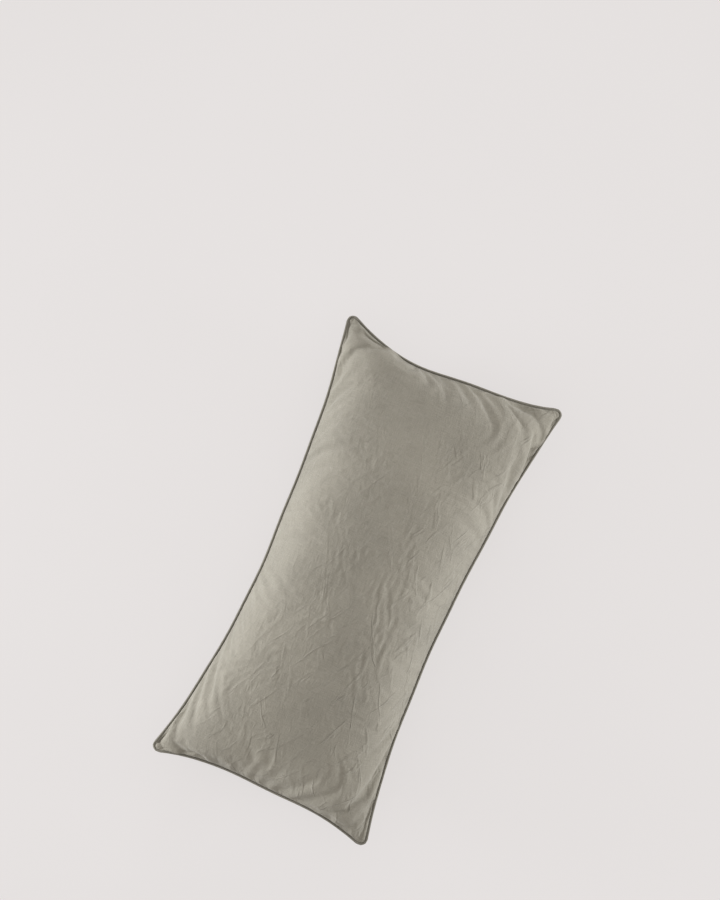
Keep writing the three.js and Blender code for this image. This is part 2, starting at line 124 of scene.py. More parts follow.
# %% Material helpers
class Finish:
    """A material, its node tree and its main shader."""

    def __init__(self, name, roughness, **shader_values):
        self.material = bpy.data.materials.new(name)
        self.material.use_nodes = True
        self.tree = self.material.node_tree
        self.shader = self.tree.nodes["Principled BSDF"]
        self.shader.inputs["Roughness"].default_value = roughness
        for label, value in shader_values.items():
            self.shader.inputs[label.replace("_", " ")].default_value = value

    def node(self, kind, inputs=None, **settings):
        return new_node(self.tree, "ShaderNode" + kind, inputs, **settings)

    def stretched(self, place, x, y, z=1.0):
        """The same place with its axes scaled, to draw a pattern out one way."""
        return self.node("Mapping", {"Vector": place, "Scale": (x, y, z)}).outputs["Vector"]

    def noise(self, place, scale, detail=2.0, roughness=0.5, distortion=0.0):
        return self.node("TexNoise", {
            "Vector": place, "Scale": scale, "Detail": detail,
            "Roughness": roughness, "Distortion": distortion,
        }).outputs["Fac"]

    def threads(self, place, direction, pitch, wander=0.6):
        """Rows of threads that far apart."""
        return self.node("TexWave", {
            "Vector": place, "Scale": math.pi / (10 * pitch), "Distortion": wander,
            "Detail": 1.0, "Detail Scale": 2.0,
        }, bands_direction=direction).outputs["Fac"]

    def maths(self, operation, first, second=0.0):
        return self.node("Math", {0: first, 1: second}, operation=operation).outputs[0]

    def eased(self, value, start, stop, low=0.0, high=1.0):
        """Goes smoothly from low to high while the value goes from start to stop."""
        return self.node("MapRange", {
            "Value": value, "From Min": start, "From Max": stop, "To Min": low, "To Max": high,
        }, interpolation_type="SMOOTHSTEP").outputs["Result"]

    def colours(self, share, *stops):
        """A colour for each share, from (share, colour) stops."""
        made = self.node("ValToRGB", {"Fac": share})
        ramp = made.color_ramp
        while len(ramp.elements) < len(stops):
            ramp.elements.new(0.5)
        for element, (position, colour) in zip(ramp.elements, stops):
            element.position = position
            element.color = (*colour, 1)
        return made.outputs["Color"]

    def raised(self, height, distance, strength=1.0, under=None):
        """The shading of a surface that stands up by that distance where height is 1."""
        inputs = {"Height": height, "Distance": distance, "Strength": strength}
        if under is not None:
            inputs["Normal"] = under
        return self.node("Bump", inputs).outputs["Normal"]

    def finish(self, colour=None, normal=None, roughness=None):
        made = {"Base Color": colour, "Normal": normal, "Roughness": roughness}
        for label, value in made.items():
            if value is not None:
                self.tree.links.new(value, self.shader.inputs[label])
        return self.material


def shade(colour, share):
    return tuple(min(c * share, 1) for c in colour)

# %% [markdown]
# ### Floor
# A floor of pale paper: nearly flat, with the faintest grain. Its glow is set on the shader's
# own sockets.

# %% Floor
paper = Finish("pale_paper", 0.95)
paper_place = paper.node("TexCoord").outputs["Object"]
paper_tone = paper.noise(paper_place, 3.0, 3.0)
paper.shader.inputs["Emission Color"].default_value = (0.785, 0.757, 0.749, 1)
paper.shader.inputs["Emission Strength"].default_value = 0.815
paper.shader.inputs["Specular IOR Level"].default_value = 0.0
paper.finish(paper.colours(paper_tone, (0.3, (0.145, 0.14, 0.139)), (0.7, (0.15, 0.145, 0.144))))

FLOOR_REACH, FLOOR_DEPTH = 7, -0.0003
floor_corners = [(x * FLOOR_REACH, y * FLOOR_REACH, FLOOR_DEPTH)
                 for x, y in ((-1, -1), (1, -1), (1, 1), (-1, 1))]
floor_mesh = bpy.data.meshes.new("floor")
floor_mesh.from_pydata(floor_corners, [], [(0, 1, 2, 3)])
floor_mesh.materials.append(paper.material)
floor = bpy.data.objects.new("floor", floor_mesh)
scene.collection.objects.link(floor)

# %% [markdown]
# ## Washed cotton
# The case is a plain weave that has been washed until it crumples. Close to, it has rows of
# threads both ways, here and there a thicker one, and a pebbled hand. Further off it has soft
# rumples, thin creases that washing leaves, and a colour that drifts a little. All of these follow
# the flat cloth and not space, so they read a UV map named flat, which holds each point's place
# in the cut panel in metres. The piping's strip has no flat place, so it reads its own place.

# %% Washed-in creases
CREASE_LENGTH = 0.12


def washed_creases(cloth, place, lean, width, patches, shift):
    """Thin raised lines that wander along one direction of the cloth, in patches."""
    drawn = cloth.node("Mapping", {
        "Vector": place, "Location": (shift, shift, 0), "Rotation": (0, 0, math.radians(lean)),
        "Scale": (CREASE_LENGTH, width, CREASE_LENGTH),
    }, vector_type="TEXTURE").outputs["Vector"]
    off_line = cloth.maths("SUBTRACT", cloth.noise(drawn, 1.0, 2.0, 0.5, 0.8), 0.5)
    line = cloth.eased(cloth.maths("ABSOLUTE", off_line), 0.0, 0.085, 1.0, 0.0)
    patch = cloth.eased(cloth.noise(drawn, patches, 1.0), 0.50, 0.66)
    return cloth.maths("MULTIPLY", line, patch)


def creases_both_ways(cloth, place):
    """Creases along two directions. The near side of the cloth, -Y, has more of them."""
    parts = cloth.node("SeparateXYZ", {"Vector": place}).outputs
    towards_end = cloth.maths("MULTIPLY", parts["X"], -0.25)
    towards_side = cloth.maths("MULTIPLY", parts["Y"], -1.0)
    more = cloth.node("MapRange", {
        "Value": cloth.maths("ADD", towards_end, towards_side),
        "From Min": -0.12, "From Max": 0.10, "To Min": 0.2}).outputs["Result"]
    both = cloth.maths("ADD", washed_creases(cloth, place, 22, 0.030, 1.7, 0.3),
                       washed_creases(cloth, place, -30, 0.026, 1.9, 1.1))
    return cloth.maths("MULTIPLY", both, more)

# %% Cotton
COTTON = (0.283, 0.267, 0.222)
SLUB_LONG, SLUB_THIN = 55, 900


def washed_cotton(name, colour, place_from="flat", thread=0.0008, creased=1.0):
    cloth = Finish(name, 0.92, Sheen_Weight=0.22, Sheen_Roughness=0.45,
                   Sheen_Tint=(0.95, 0.93, 0.88, 1), Specular_IOR_Level=0.12)
    if place_from == "flat":
        place = cloth.node("UVMap", uv_map="flat").outputs["UV"]
    else:
        place = cloth.node("TexCoord").outputs["Object"]
    drift = cloth.noise(place, 7.0, 3.0, 0.55)
    pebbles = cloth.noise(place, 520.0, 3.0, 0.6)
    warp_slubs = cloth.noise(cloth.stretched(place, SLUB_LONG, SLUB_THIN, SLUB_LONG), 1.0, 2.0)
    weft_slubs = cloth.noise(cloth.stretched(place, SLUB_THIN, SLUB_LONG, SLUB_THIN), 1.0, 2.0)
    slubs = cloth.maths("ADD", warp_slubs, weft_slubs)
    weave = cloth.maths("MULTIPLY", cloth.threads(place, "X", thread),
                        cloth.threads(place, "Y", thread))

    tone = cloth.maths("ADD", cloth.maths("MULTIPLY", slubs, 0.34),
                       cloth.maths("MULTIPLY", drift, 0.54))
    tone = cloth.maths("ADD", tone, cloth.maths("MULTIPLY", pebbles, 0.28))
    colours = cloth.colours(tone, (0.50, shade(colour, 0.74)), (0.76, colour),
                            (1.00, shade(colour, 1.22)))

    crumple = cloth.noise(place, 26.0, 5.0, 0.58, 0.7)
    rumples = cloth.noise(cloth.stretched(place, 60, 150, 60), 1.0, 3.0, 0.55, 1.2)
    normal = cloth.raised(crumple, 0.0036 * creased, 0.5)
    normal = cloth.raised(rumples, 0.0016 * creased, 0.6, normal)
    if place_from == "flat":
        normal = cloth.raised(creases_both_ways(cloth, place), 0.0014, 0.85, normal)
    normal = cloth.raised(cloth.maths("ADD", slubs, pebbles), 0.0005, 0.9, normal)
    normal = cloth.raised(weave, 0.00014, 0.8, normal)
    return cloth.finish(colours, normal)


case_cotton = washed_cotton("washed_cotton", COTTON)
# The piping is the same cotton as the case. Its colour here is the case's colour painted darker, to
# 0.72, as painted shade for the shadowed groove beside the seam.
piping_cotton = washed_cotton("piping_cotton", shade(COTTON, 0.72), "object", 0.0007, 0.25)
print("cotton", COTTON)

# %% [markdown]
# ## The pillow's form
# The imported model's halves are written as one rule: a flat cloth from -1 to 1 each way, whose
# outline is drawn in between rounded corners and whose height swells from the seam. The same
# rule here, in metres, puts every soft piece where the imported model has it. On the back, the
# cloth is straightened round the zip.

# %% Sizes
CASE_LENGTH, CASE_WIDTH = 0.775, 0.377
CORNER_RADIUS = 0.015
SIDE_PULL_IN, END_PULL_IN = 0.039, 0.031
TOP_CROWN, BASE_CROWN = 0.088, 0.066
BASE_FLATTENING = 1.16
SEAM_GAP = 0.0022
SEAM_HEIGHT = BASE_CROWN + SEAM_GAP / 2

ZIP_LENGTH = 0.250
ZIP_INSET = 0.024
TAPE_END = 0.012
TAPE_WIDTH = 0.012
ZIP_END = ZIP_LENGTH / 2
ZIP_FROM_MIDDLE = CASE_LENGTH / 2 - END_PULL_IN - ZIP_INSET
ZIP_S = -ZIP_FROM_MIDDLE / (ZIP_FROM_MIDDLE + ZIP_INSET)
FRONT, BACK = 1, -1

# %% The rule
def smoothstep(value, start, stop):
    share = np.clip((value - start) / (stop - start), 0, 1)
    return share * share * (3 - 2 * share)


def outline(s, t, inset=0.0):
    """Where a point of the flat cloth comes in plan: rounded corners, sides drawn in."""
    s, t = np.broadcast_arrays(np.asarray(s, float), np.asarray(t, float))
    half_length, half_width = CASE_LENGTH / 2 - inset, CASE_WIDTH / 2 - inset
    x, y = s * half_length, t * half_width
    a = (np.abs(x) - half_length + CORNER_RADIUS) / CORNER_RADIUS
    b = (np.abs(y) - half_width + CORNER_RADIUS) / CORNER_RADIUS
    corner = (a > 0) & (b > 0)
    round_x = half_length + CORNER_RADIUS * (a * np.sqrt(np.clip(1 - b * b / 2, 0, 1)) - 1)
    round_y = half_width + CORNER_RADIUS * (b * np.sqrt(np.clip(1 - a * a / 2, 0, 1)) - 1)
    x = np.where(corner, np.sign(x) * round_x, x)
    y = np.where(corner, np.sign(y) * round_y, y)
    along = np.minimum(np.abs(x) / half_length, 1)
    across = np.minimum(np.abs(y) / half_width, 1)
    return (x * (1 - END_PULL_IN * (1 - across**3.2) / half_length),
            y * (1 - SIDE_PULL_IN * (1 - along**2.3) / half_width))


def rise(s, t, side, crown):
    full = np.clip(1 - s * s, 0, 1) ** 0.3 * np.clip(1 - t * t, 0, 1) ** 0.4
    return crown * full if side == FRONT else crown * np.minimum(full * BASE_FLATTENING, 1)


def half_surface(s, t, side, inset=0.0, lowered=0.0, seam_gap=SEAM_GAP):
    """Points of one half. inset is how far its seam is inside the case's, and lowered how much
    less it swells."""
    s, t = np.broadcast_arrays(np.asarray(s, float), np.asarray(t, float))
    crown = (TOP_CROWN if side == FRONT else BASE_CROWN) - lowered
    seam = SEAM_HEIGHT + side * seam_gap / 2
    x, y = outline(s, t, inset)
    z = seam + side * rise(s, t, side, crown)
    if side == BACK:
        middle_x = outline(s, 0.0, inset)[0]
        near = smoothstep(-middle_x - inset, ZIP_FROM_MIDDLE - 0.058, ZIP_FROM_MIDDLE - 0.018)
        far = 1 - smoothstep(-middle_x + inset, ZIP_FROM_MIDDLE + 0.009,
                             ZIP_FROM_MIDDLE + ZIP_INSET)
        across = 1 - smoothstep(np.abs(y) + inset, ZIP_END + TAPE_END + 0.002,
                                CASE_WIDTH / 2 - 0.009)
        straight = near * far * across
        x = x + (middle_x - x) * straight
        z = z + (seam - rise(s, 0.0, side, crown) - z) * straight
    return np.stack([x, y, z], -1)

# %% [markdown]
# A filled case is never even. One end is drawn in a little more than the other, the sides give
# way lower down, the seam drops towards the corners and wavers. `hand_made` adds these small
# shifts near the seam and leaves the cloth round the zip alone.

# %% What makes it hand made
def zip_zone(s, t, spread=0.07):
    """1 on the back where the zip is sewn in, fading to 0 round it."""
    before = smoothstep(s, ZIP_S - 0.058, ZIP_S - 0.032)
    after = 1 - smoothstep(s, ZIP_S + 0.05, ZIP_S + 0.05 + spread)
    return before * after * (1 - smoothstep(np.abs(t), 0.88, 0.96))


def hand_made(s, t, side):
    """How far each point is from the even rule, in metres."""
    s, t = np.broadcast_arrays(np.asarray(s, float), np.asarray(t, float))
    by_end = np.abs(s) ** 10
    by_side = np.abs(t) ** 6
    waver = np.sin(9.1 * s + 5.2 * t + 0.7) + 0.7 * np.sin(17.3 * s - 8.6 * t + 2.1)
    ease = np.where(s < 0, -0.0075, 0.0) * (1 - np.abs(t) ** 3.2)
    skew = np.where(s > 0, -0.005, 0.0015) * np.sin(math.pi * t) * (1 - t**4)
    x = by_end * (ease + skew + 0.0008 * waver)
    left = 0.0035 * np.sin(math.pi * s) * (1 - s**4)
    right = -0.004 * (1 - s**2) - 0.002 * np.sin(math.pi * s)
    y = by_side * (np.where(t > 0, left, right) + 0.0007 * waver)
    z = np.maximum(by_end, by_side) * 0.0011 * waver - 0.006 * np.abs(s) ** 8 * np.abs(t) ** 5
    moved = np.stack([x, y, z], -1)
    if side == BACK:
        moved = moved * (1 - zip_zone(s, t))[..., None]
    return moved

# %% [markdown]
# ## Cloth simulation
# Real folds come from having more cloth than the filled shape needs, so both panels begin as a
# flat cut, a little larger than the filled form. Over twelve steps the form is brought up and the
# cloth is pulled to it by weak springs, as the filling would. What is too long has to fold. The
# springs are strongest in the middle of the front, where a full pillow is smooth, and weak by
# the seam. The seam itself, and the cloth that holds the zip, follow the form exactly.
#
# The grid's lines are even along the cloth, so they crowd in plan towards the seam, where the
# cloth stands steeply. A list of gathers says where the front has still more cloth: at both ends,
# at the corners and here and there along the sides.

# %% The grid of the cloth
ALONG_CELLS, ACROSS_CELLS = 148, 74
CUT_LENGTH, CUT_WIDTH = 0.796, 0.389
CUT_EXTRA_LENGTH, CUT_EXTRA_WIDTH = 0.04, 0.034
CUT_CORNER = 0.02


def even_along_arc(u, half, crown, power):
    """Which part of the form a part of the flat cloth lies on."""
    turn = np.linspace(0, math.pi / 2, 2001)
    plan = np.sin(turn)
    steps = np.hypot(np.diff(half * plan), np.diff(crown * np.cos(turn) ** power))
    length = np.concatenate([[0], np.cumsum(steps)])
    return np.sign(u) * np.interp(np.abs(u), length / length[-1], plan)


def back_to_cloth(value, half, crown, power):
    """The other way: from the form to the flat cloth."""
    lines = np.linspace(-1, 1, 4001)
    return np.interp(value, even_along_arc(lines, half, crown, power), lines)


ALONG_ARC = (CASE_LENGTH / 2 - END_PULL_IN / 2, 0.077, 0.6)
ACROSS_ARC = (CASE_WIDTH / 2 - SIDE_PULL_IN / 2, 0.077, 0.8)
u_lines = np.linspace(-1, 1, ALONG_CELLS + 1)
v_lines = np.linspace(-1, 1, ACROSS_CELLS + 1)
s_lines = even_along_arc(u_lines, *ALONG_ARC)
t_lines = even_along_arc(v_lines, *ACROSS_ARC)
S, T = np.meshgrid(s_lines, t_lines, indexing="ij")
U, V = np.meshgrid(u_lines, v_lines, indexing="ij")


def flat_cut(u, v, s, t):
    """Where a point of the cloth is in the flat panel, in metres."""
    x = (u + (s - u) * np.abs(v) ** 6) * (CUT_LENGTH + CUT_EXTRA_LENGTH * v * v) / 2
    y = (v + (t - v) * np.abs(u) ** 6) * (CUT_WIDTH + CUT_EXTRA_WIDTH * u * u) / 2
    a = (np.abs(x) - (CUT_LENGTH + CUT_EXTRA_LENGTH) / 2 + CUT_CORNER) / CUT_CORNER
    b = (np.abs(y) - (CUT_WIDTH + CUT_EXTRA_WIDTH) / 2 + CUT_CORNER) / CUT_CORNER
    corner = (a > 0) & (b > 0)
    drawn_x = CUT_CORNER * a * (1 - np.sqrt(np.clip(1 - b * b / 2, 0, 1)))
    drawn_y = CUT_CORNER * b * (1 - np.sqrt(np.clip(1 - a * a / 2, 0, 1)))
    return (np.where(corner, x - np.sign(x) * drawn_x, x),
            np.where(corner, y - np.sign(y) * drawn_y, y))


WAVES = 14
FULL_TURN = 2 * math.pi


def smooth_noise(x, y, wave, amount, seed):
    """A slow random wave over the flat cloth."""
    draw = np.random.default_rng(seed)
    total = np.zeros_like(x)
    for _ in range(WAVES):
        length = draw.uniform(*wave)
        turn = draw.uniform(0, FULL_TURN)
        start = draw.uniform(0, FULL_TURN)
        total += np.sin(FULL_TURN * (x * math.cos(turn) + y * math.sin(turn)) / length + start)
    return amount * total / math.sqrt(WAVES / 2)


# Where the front is gathered: place, reach along and across, and how much cloth too many.
GATHERS = [
    (0.375, -0.115, 0.045, 0.050, 0.29), (0.365, -0.020, 0.030, 0.040, 0.18),
    (0.310, -0.160, 0.040, 0.020, 0.29), (-0.345, -0.130, 0.060, 0.035, 0.29),
    (-0.375, -0.035, 0.035, 0.060, 0.25), (-0.180, -0.144, 0.060, 0.015, 0.25),
    (-0.092, -0.086, 0.060, 0.030, 0.22), (0.063, -0.074, 0.050, 0.025, 0.14),
    (0.081, 0.120, 0.035, 0.015, 0.29), (-0.111, 0.118, 0.035, 0.016, 0.29),
    (-0.226, 0.128, 0.040, 0.014, 0.29), (0.365, 0.150, 0.030, 0.020, 0.22),
    (-0.375, 0.150, 0.025, 0.025, 0.22),
]


def gathered(x, y):
    """How far each point of the cut is pushed aside along Y to hold the gathers' extra cloth."""
    edge = (CUT_WIDTH + CUT_EXTRA_WIDTH) / 2
    pushed = np.zeros_like(x)
    for at_x, at_y, reach_x, reach_y, extra in GATHERS:
        def push(value):
            return reach_y * np.tanh((value - at_y) / reach_y)
        even = (push(edge) * (edge + y) + push(-edge) * (edge - y)) / (2 * edge)
        pushed += extra * np.exp(-(((x - at_x) / reach_x) ** 2)) * (push(y) - even)
    return pushed


def form(side):
    """The filled form that the cloth is drawn to, with the two halves meeting at the seam."""
    return half_surface(S, T, side, seam_gap=0.0) + hand_made(S, T, side)


print("cloth grid", S.shape, "cell", round(CUT_LENGTH / ALONG_CELLS * 1000, 2), "mm")

# %% One mesh of both panels
flat_x, flat_y = flat_cut(U, V, S, T)
on_seam = (np.abs(U) > 0.9999) | (np.abs(V) > 0.9999)
count = S.size
number = {FRONT: np.arange(count).reshape(S.shape)}
inner = np.flatnonzero(~on_seam.ravel())
back_number = np.arange(count)
back_number[inner] = count + np.arange(len(inner))
number[BACK] = back_number.reshape(S.shape)

forms = {side: form(side) for side in (FRONT, BACK)}
filled = np.concatenate([forms[FRONT].reshape(-1, 3), forms[BACK].reshape(-1, 3)[inner]])

UNEVEN_WAVE, UNEVEN = (0.05, 0.14), 0.001
START_GAP = 0.0005


def uneven_cut(side):
    """The flat cut of one panel, with its cloth spread a little unevenly."""
    x = smooth_noise(flat_x, flat_y, UNEVEN_WAVE, UNEVEN, 11 + side)
    y = smooth_noise(flat_x, flat_y, UNEVEN_WAVE, UNEVEN, 31 + side)
    if side == FRONT:
        y = y + gathered(flat_x, flat_y)
    moved = np.stack([x, y, np.full_like(x, side * START_GAP)], -1)
    moved[on_seam] = 0
    return np.stack([flat_x, flat_y, np.zeros_like(flat_x)], -1) + moved


cut = np.concatenate([uneven_cut(FRONT).reshape(-1, 3), uneven_cut(BACK).reshape(-1, 3)[inner]])
draw = np.random.default_rng(5)
filled_rough = filled + draw.normal(0, 0.0003, filled.shape) * np.concatenate(
    [~on_seam.ravel(), np.ones(len(inner), bool)])[:, None]


def grid_faces(numbers, flipped):
    corners = [numbers[:-1, :-1], numbers[1:, :-1], numbers[1:, 1:], numbers[:-1, 1:]]
    if flipped:
        corners = corners[::-1]
    return np.stack([c.ravel() for c in corners], -1)


cloth_faces = np.concatenate([grid_faces(number[FRONT], False), grid_faces(number[BACK], True)])
print("cloth points", len(filled), "cells", len(cloth_faces))

# %% How firmly the filling holds each point
def hold_of(side):
    """From 0 to 1: the share of its way to the filled form that each point is pulled."""
    x, y = forms[side][..., 0], forms[side][..., 1]
    from_edge = np.minimum(CASE_LENGTH / 2 - 0.025 - np.abs(x), CASE_WIDTH / 2 - 0.025 - np.abs(y))
    middle = smoothstep(from_edge, 0.0, 0.10)
    hold = 0.24 + 0.38 * middle if side == FRONT else 0.42 + 0.4 * middle
    if side == BACK:
        hold = np.maximum(hold, np.where(zip_zone(S, T, 0.03) > 0.02, 1.0, 0.0))
    return np.where(on_seam, 1.0, hold)


holds = np.concatenate([hold_of(FRONT).ravel(), hold_of(BACK).ravel()[inner]])

# %% Let the cloth find its folds
STEPS, RISING_STEPS = 28, 12


def simulate():
    mesh = bpy.data.meshes.new("cloth")
    mesh.from_pydata(cut.tolist(), [], cloth_faces.tolist())
    cloth = bpy.data.objects.new("cloth", mesh)
    scene.collection.objects.link(cloth)
    cloth.shape_key_add(name="Basis")
    key = cloth.shape_key_add(name="filled")
    key.data.foreach_set("co", filled_rough.ravel())
    group = cloth.vertex_groups.new(name="hold")
    for index, weight in enumerate(holds):
        group.add([index], float(weight), "REPLACE")
    stiff = cloth.vertex_groups.new(name="stiff")
    stiff.add([int(i) for i in np.flatnonzero(on_seam.ravel())], 1.0, "REPLACE")

    modifier = cloth.modifiers.new("cloth", "CLOTH")
    settings = modifier.settings
    settings.vertex_group_mass = "hold"
    settings.pin_stiffness = 1.0
    settings.vertex_group_bending = "stiff"
    settings.bending_stiffness, settings.bending_stiffness_max = 0.0035, 0.6
    settings.quality = 5
    settings.mass = 0.004
    settings.tension_stiffness, settings.compression_stiffness = 40, 15
    settings.shear_stiffness = 10
    settings.tension_damping = settings.compression_damping = settings.shear_damping = 2
    settings.bending_damping = 0.2
    settings.use_pressure = True
    settings.uniform_pressure_force = 6
    settings.effector_weights.gravity = 0
    modifier.collision_settings.use_collision = False
    scene.frame_start, scene.frame_end = 1, STEPS
    modifier.point_cache.frame_start, modifier.point_cache.frame_end = 1, STEPS
    for step in range(1, STEPS + 1):
        key.value = min(1.0, (step - 1) / RISING_STEPS)
        key.keyframe_insert("value", frame=step)
    for step in range(1, STEPS + 1):
        scene.frame_set(step)

    settled = cloth.evaluated_get(bpy.context.evaluated_depsgraph_get()).to_mesh()
    points = np.empty(len(settled.vertices) * 3)
    settled.vertices.foreach_get("co", points)
    action = mesh.shape_keys.animation_data.action
    bpy.data.objects.remove(cloth)
    bpy.data.meshes.remove(mesh)
    bpy.data.actions.remove(action)
    scene.frame_set(1)
    return points.reshape(-1, 3)


MOST_MOVE = 0.016
moved = simulate() - filled
distance = np.linalg.norm(moved, axis=1, keepdims=True)
moved *= np.minimum(1, MOST_MOVE / np.maximum(distance, 1e-9))
print("cloth moved: mean", round(float(distance.mean()) * 1000, 2), "mm, most",
      round(float(distance.max()) * 1000, 2), "mm")

# %% [markdown]
# The result is kept as a field: how far the cloth moved at each point of the grid. Any piece can
# then ask for the finished surface at any place, also between the grid's lines, and the lining
# pieces follow a smoothed copy of the same field.

# %% The finished surface at any place
fields = {side: moved[number[side]] for side in (FRONT, BACK)}


def smoothed(field, times):
    for _ in range(times):
        padded = np.pad(field, ((1, 1), (1, 1), (0, 0)), mode="edge")
        field = (padded[:-2, 1:-1] + padded[2:, 1:-1] + padded[1:-1, :-2] + padded[1:-1, 2:]
                 + 4 * padded[1:-1, 1:-1]) / 8
    return field


soft_fields = {side: smoothed(fields[side], 30) for side in (FRONT, BACK)}


def sampled(field, s, t):
    """The field at a place, by cubic steps between the grid's lines."""
    u = (back_to_cloth(s, *ALONG_ARC) + 1) / 2 * ALONG_CELLS
    v = (back_to_cloth(t, *ACROSS_ARC) + 1) / 2 * ACROSS_CELLS
    i = np.clip(u.astype(int), 0, ALONG_CELLS - 1)
    j = np.clip(v.astype(int), 0, ACROSS_CELLS - 1)

    def weights(f):
        return [(-f + 2 * f**2 - f**3) / 2, (2 - 5 * f**2 + 3 * f**3) / 2,
                (f + 4 * f**2 - 3 * f**3) / 2, (-f**2 + f**3) / 2]

    total = 0
    for a, weight_a in enumerate(weights(u - i)):
        for b, weight_b in enumerate(weights(v - j)):
            row, column = np.clip(i + a - 1, 0, ALONG_CELLS), np.clip(j + b - 1, 0, ACROSS_CELLS)
            total = total + field[row, column] * (weight_a * weight_b)[..., None]
    return total


LOWEST = 0.0002


def case_surface(s, t, side):
    """The finished outer face of the case."""
    s, t = np.broadcast_arrays(np.asarray(s, float), np.asarray(t, float))
    points = half_surface(s, t, side) + hand_made(s, t, side) + sampled(fields[side], s, t)
    points[..., 2] = np.maximum(points[..., 2], LOWEST)
    return points


def insert_surface(s, t, side, inset, lowered):
    """The same for the pieces inside, which follow the case's folds more softly."""
    s, t = np.broadcast_arrays(np.asarray(s, float), np.asarray(t, float))
    points = half_surface(s, t, side, inset, lowered, 0.0006)
    points = points + 0.8 * (hand_made(s, t, side) + sampled(soft_fields[side], s, t))
    points[..., 2] = np.maximum(points[..., 2], LOWEST + lowered - 0.001)
    return points

# %% [markdown]
# ## Making a piece
# A sheet is a grid of points with its flat place as a UV map. Subdivision rounds the folds, and
# Solidify then gives the cloth its thickness, inwards from the outer face.

# %% Piece helpers
def put_in_scene(name, mesh, material, stands_for=()):
    """Puts a mesh in the scene as a piece of the pillow's body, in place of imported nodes."""
    for polygon in mesh.polygons:
        polygon.use_smooth = True
    if not mesh.materials:
        mesh.materials.append(material)
    made = bpy.data.objects.new(name, mesh)
    scene.collection.objects.link(made)
    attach(made, "pillow")
    if stands_for:
        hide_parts(*stands_for)
    return made


def sheet_mesh(name, points, flat, flipped):
    """A mesh from a grid of points, with their flat places as its UV map."""
    rows, columns = points.shape[:2]
    faces = grid_faces(np.arange(rows * columns).reshape(rows, columns), flipped)
    mesh = bpy.data.meshes.new(name)
    mesh.from_pydata(points.reshape(-1, 3).tolist(), [], faces.tolist())
    layer = mesh.uv_layers.new(name="flat")
    corners = np.empty(len(mesh.loops), int)
    mesh.loops.foreach_get("vertex_index", corners)
    layer.data.foreach_set("uv", flat.reshape(-1, 2)[corners].ravel())
    return mesh


def soften(piece, thickness):
    """Rounds a sheet's folds and gives it its thickness."""
    rounded = piece.modifiers.new("rounded", "SUBSURF")
    rounded.levels = rounded.render_levels = 1
    thick = piece.modifiers.new("thick", "SOLIDIFY")
    thick.thickness = thickness
    thick.offset = -1
    thick.use_rim = True


def flat_place(s, t):
    """The place in the flat panel, in metres, of a point of the finished surface."""
    s, t = np.broadcast_arrays(np.asarray(s, float), np.asarray(t, float))
    x, y = flat_cut(back_to_cloth(s, *ALONG_ARC), back_to_cloth(t, *ACROSS_ARC), s, t)
    return np.stack([x, y], -1)

# %% [markdown]
# ## Front panel
# The front is one piece of cotton with the folds that the simulation found.

# %% Front panel
CLOTH = 0.0009
front_points = case_surface(S, T, FRONT)
front = put_in_scene(
    "front_panel", sheet_mesh("front_panel", front_points, flat_place(S, T), False),
    case_cotton, stands_for=["case_front_panel"])
soften(front, CLOTH)
print("front panel's top is", round(float(front_points[..., 2].max()), 4), "m up")

# %% [markdown]
# ## Back panel and end strip
# The back is two pieces with the zip between them. Their edges run beside the zip, 5 mm from its
# middle, and come together past its ends, where they are sewn. So the first line of each grid
# is not straight: it follows the slot.

# %% The zip's own axes
def slot_frame():
    """The zip's middle, the way across it and the way into the pillow."""
    middle = half_surface(ZIP_S, 0.0, BACK)
    step = 0.002
    along_s = half_surface(ZIP_S + step, 0.0, BACK) - half_surface(ZIP_S - step, 0.0, BACK)
    along_t = half_surface(ZIP_S, step, BACK) - half_surface(ZIP_S, -step, BACK)
    outward = -np.cross(along_s, along_t)
    outward /= np.linalg.norm(outward)
    inwards = -outward
    widthways = np.cross([0, 1, 0], inwards)
    return middle, widthways, inwards


zip_middle, zip_widthways, zip_inwards = slot_frame()
zip_matrix = Matrix((
    (zip_widthways[0], 0, zip_inwards[0], zip_middle[0]),
    (zip_widthways[1], 1, zip_inwards[1], zip_middle[1]),
    (zip_widthways[2], 0, zip_inwards[2], zip_middle[2]),
    (0, 0, 0, 1)))
METRES_PER_S = float(np.linalg.norm(half_surface(ZIP_S + 0.001, 0.0, BACK) - zip_middle) / 0.001)
METRES_PER_T = float(outline(ZIP_S, 1.0)[1])
print("zip's middle", zip_middle.round(4))

# %% Back panel and end strip
SLOT_HALF, SEWN_HALF = 0.0052, 0.0002


def slot_s(t, hand):
    """The s of the slot's edge. hand is 1 for the large panel and -1 for the end strip."""
    closing = smoothstep(np.abs(t) * METRES_PER_T, ZIP_END + 0.003, ZIP_END + 0.008)
    return ZIP_S + hand * (SLOT_HALF + (SEWN_HALF - SLOT_HALF) * closing) / METRES_PER_S


def back_lines(hand, t):
    """Grid lines of s from the slot's edge to the piece's own end, one row for each t."""
    near = [ZIP_S + hand * w / METRES_PER_S for w in (0.0085, TAPE_WIDTH)]
    if hand > 0:
        far = s_lines[s_lines > near[1] + 0.008]
    else:
        far = s_lines[s_lines < near[1] - 0.004][::-1]
    fixed = np.concatenate([near, far])
    rows = np.concatenate([slot_s(t, hand)[None, :], np.repeat(fixed[:, None], len(t), 1)])
    return rows if hand > 0 else rows[::-1]


slot_ends = np.array([ZIP_END + 0.003, ZIP_END + 0.0055, ZIP_END + 0.008]) / METRES_PER_T
clear = np.all([np.abs(np.abs(t_lines) - e) > 0.006 for e in slot_ends], axis=0)
back_t = np.sort(np.concatenate([t_lines[clear], slot_ends, -slot_ends]))


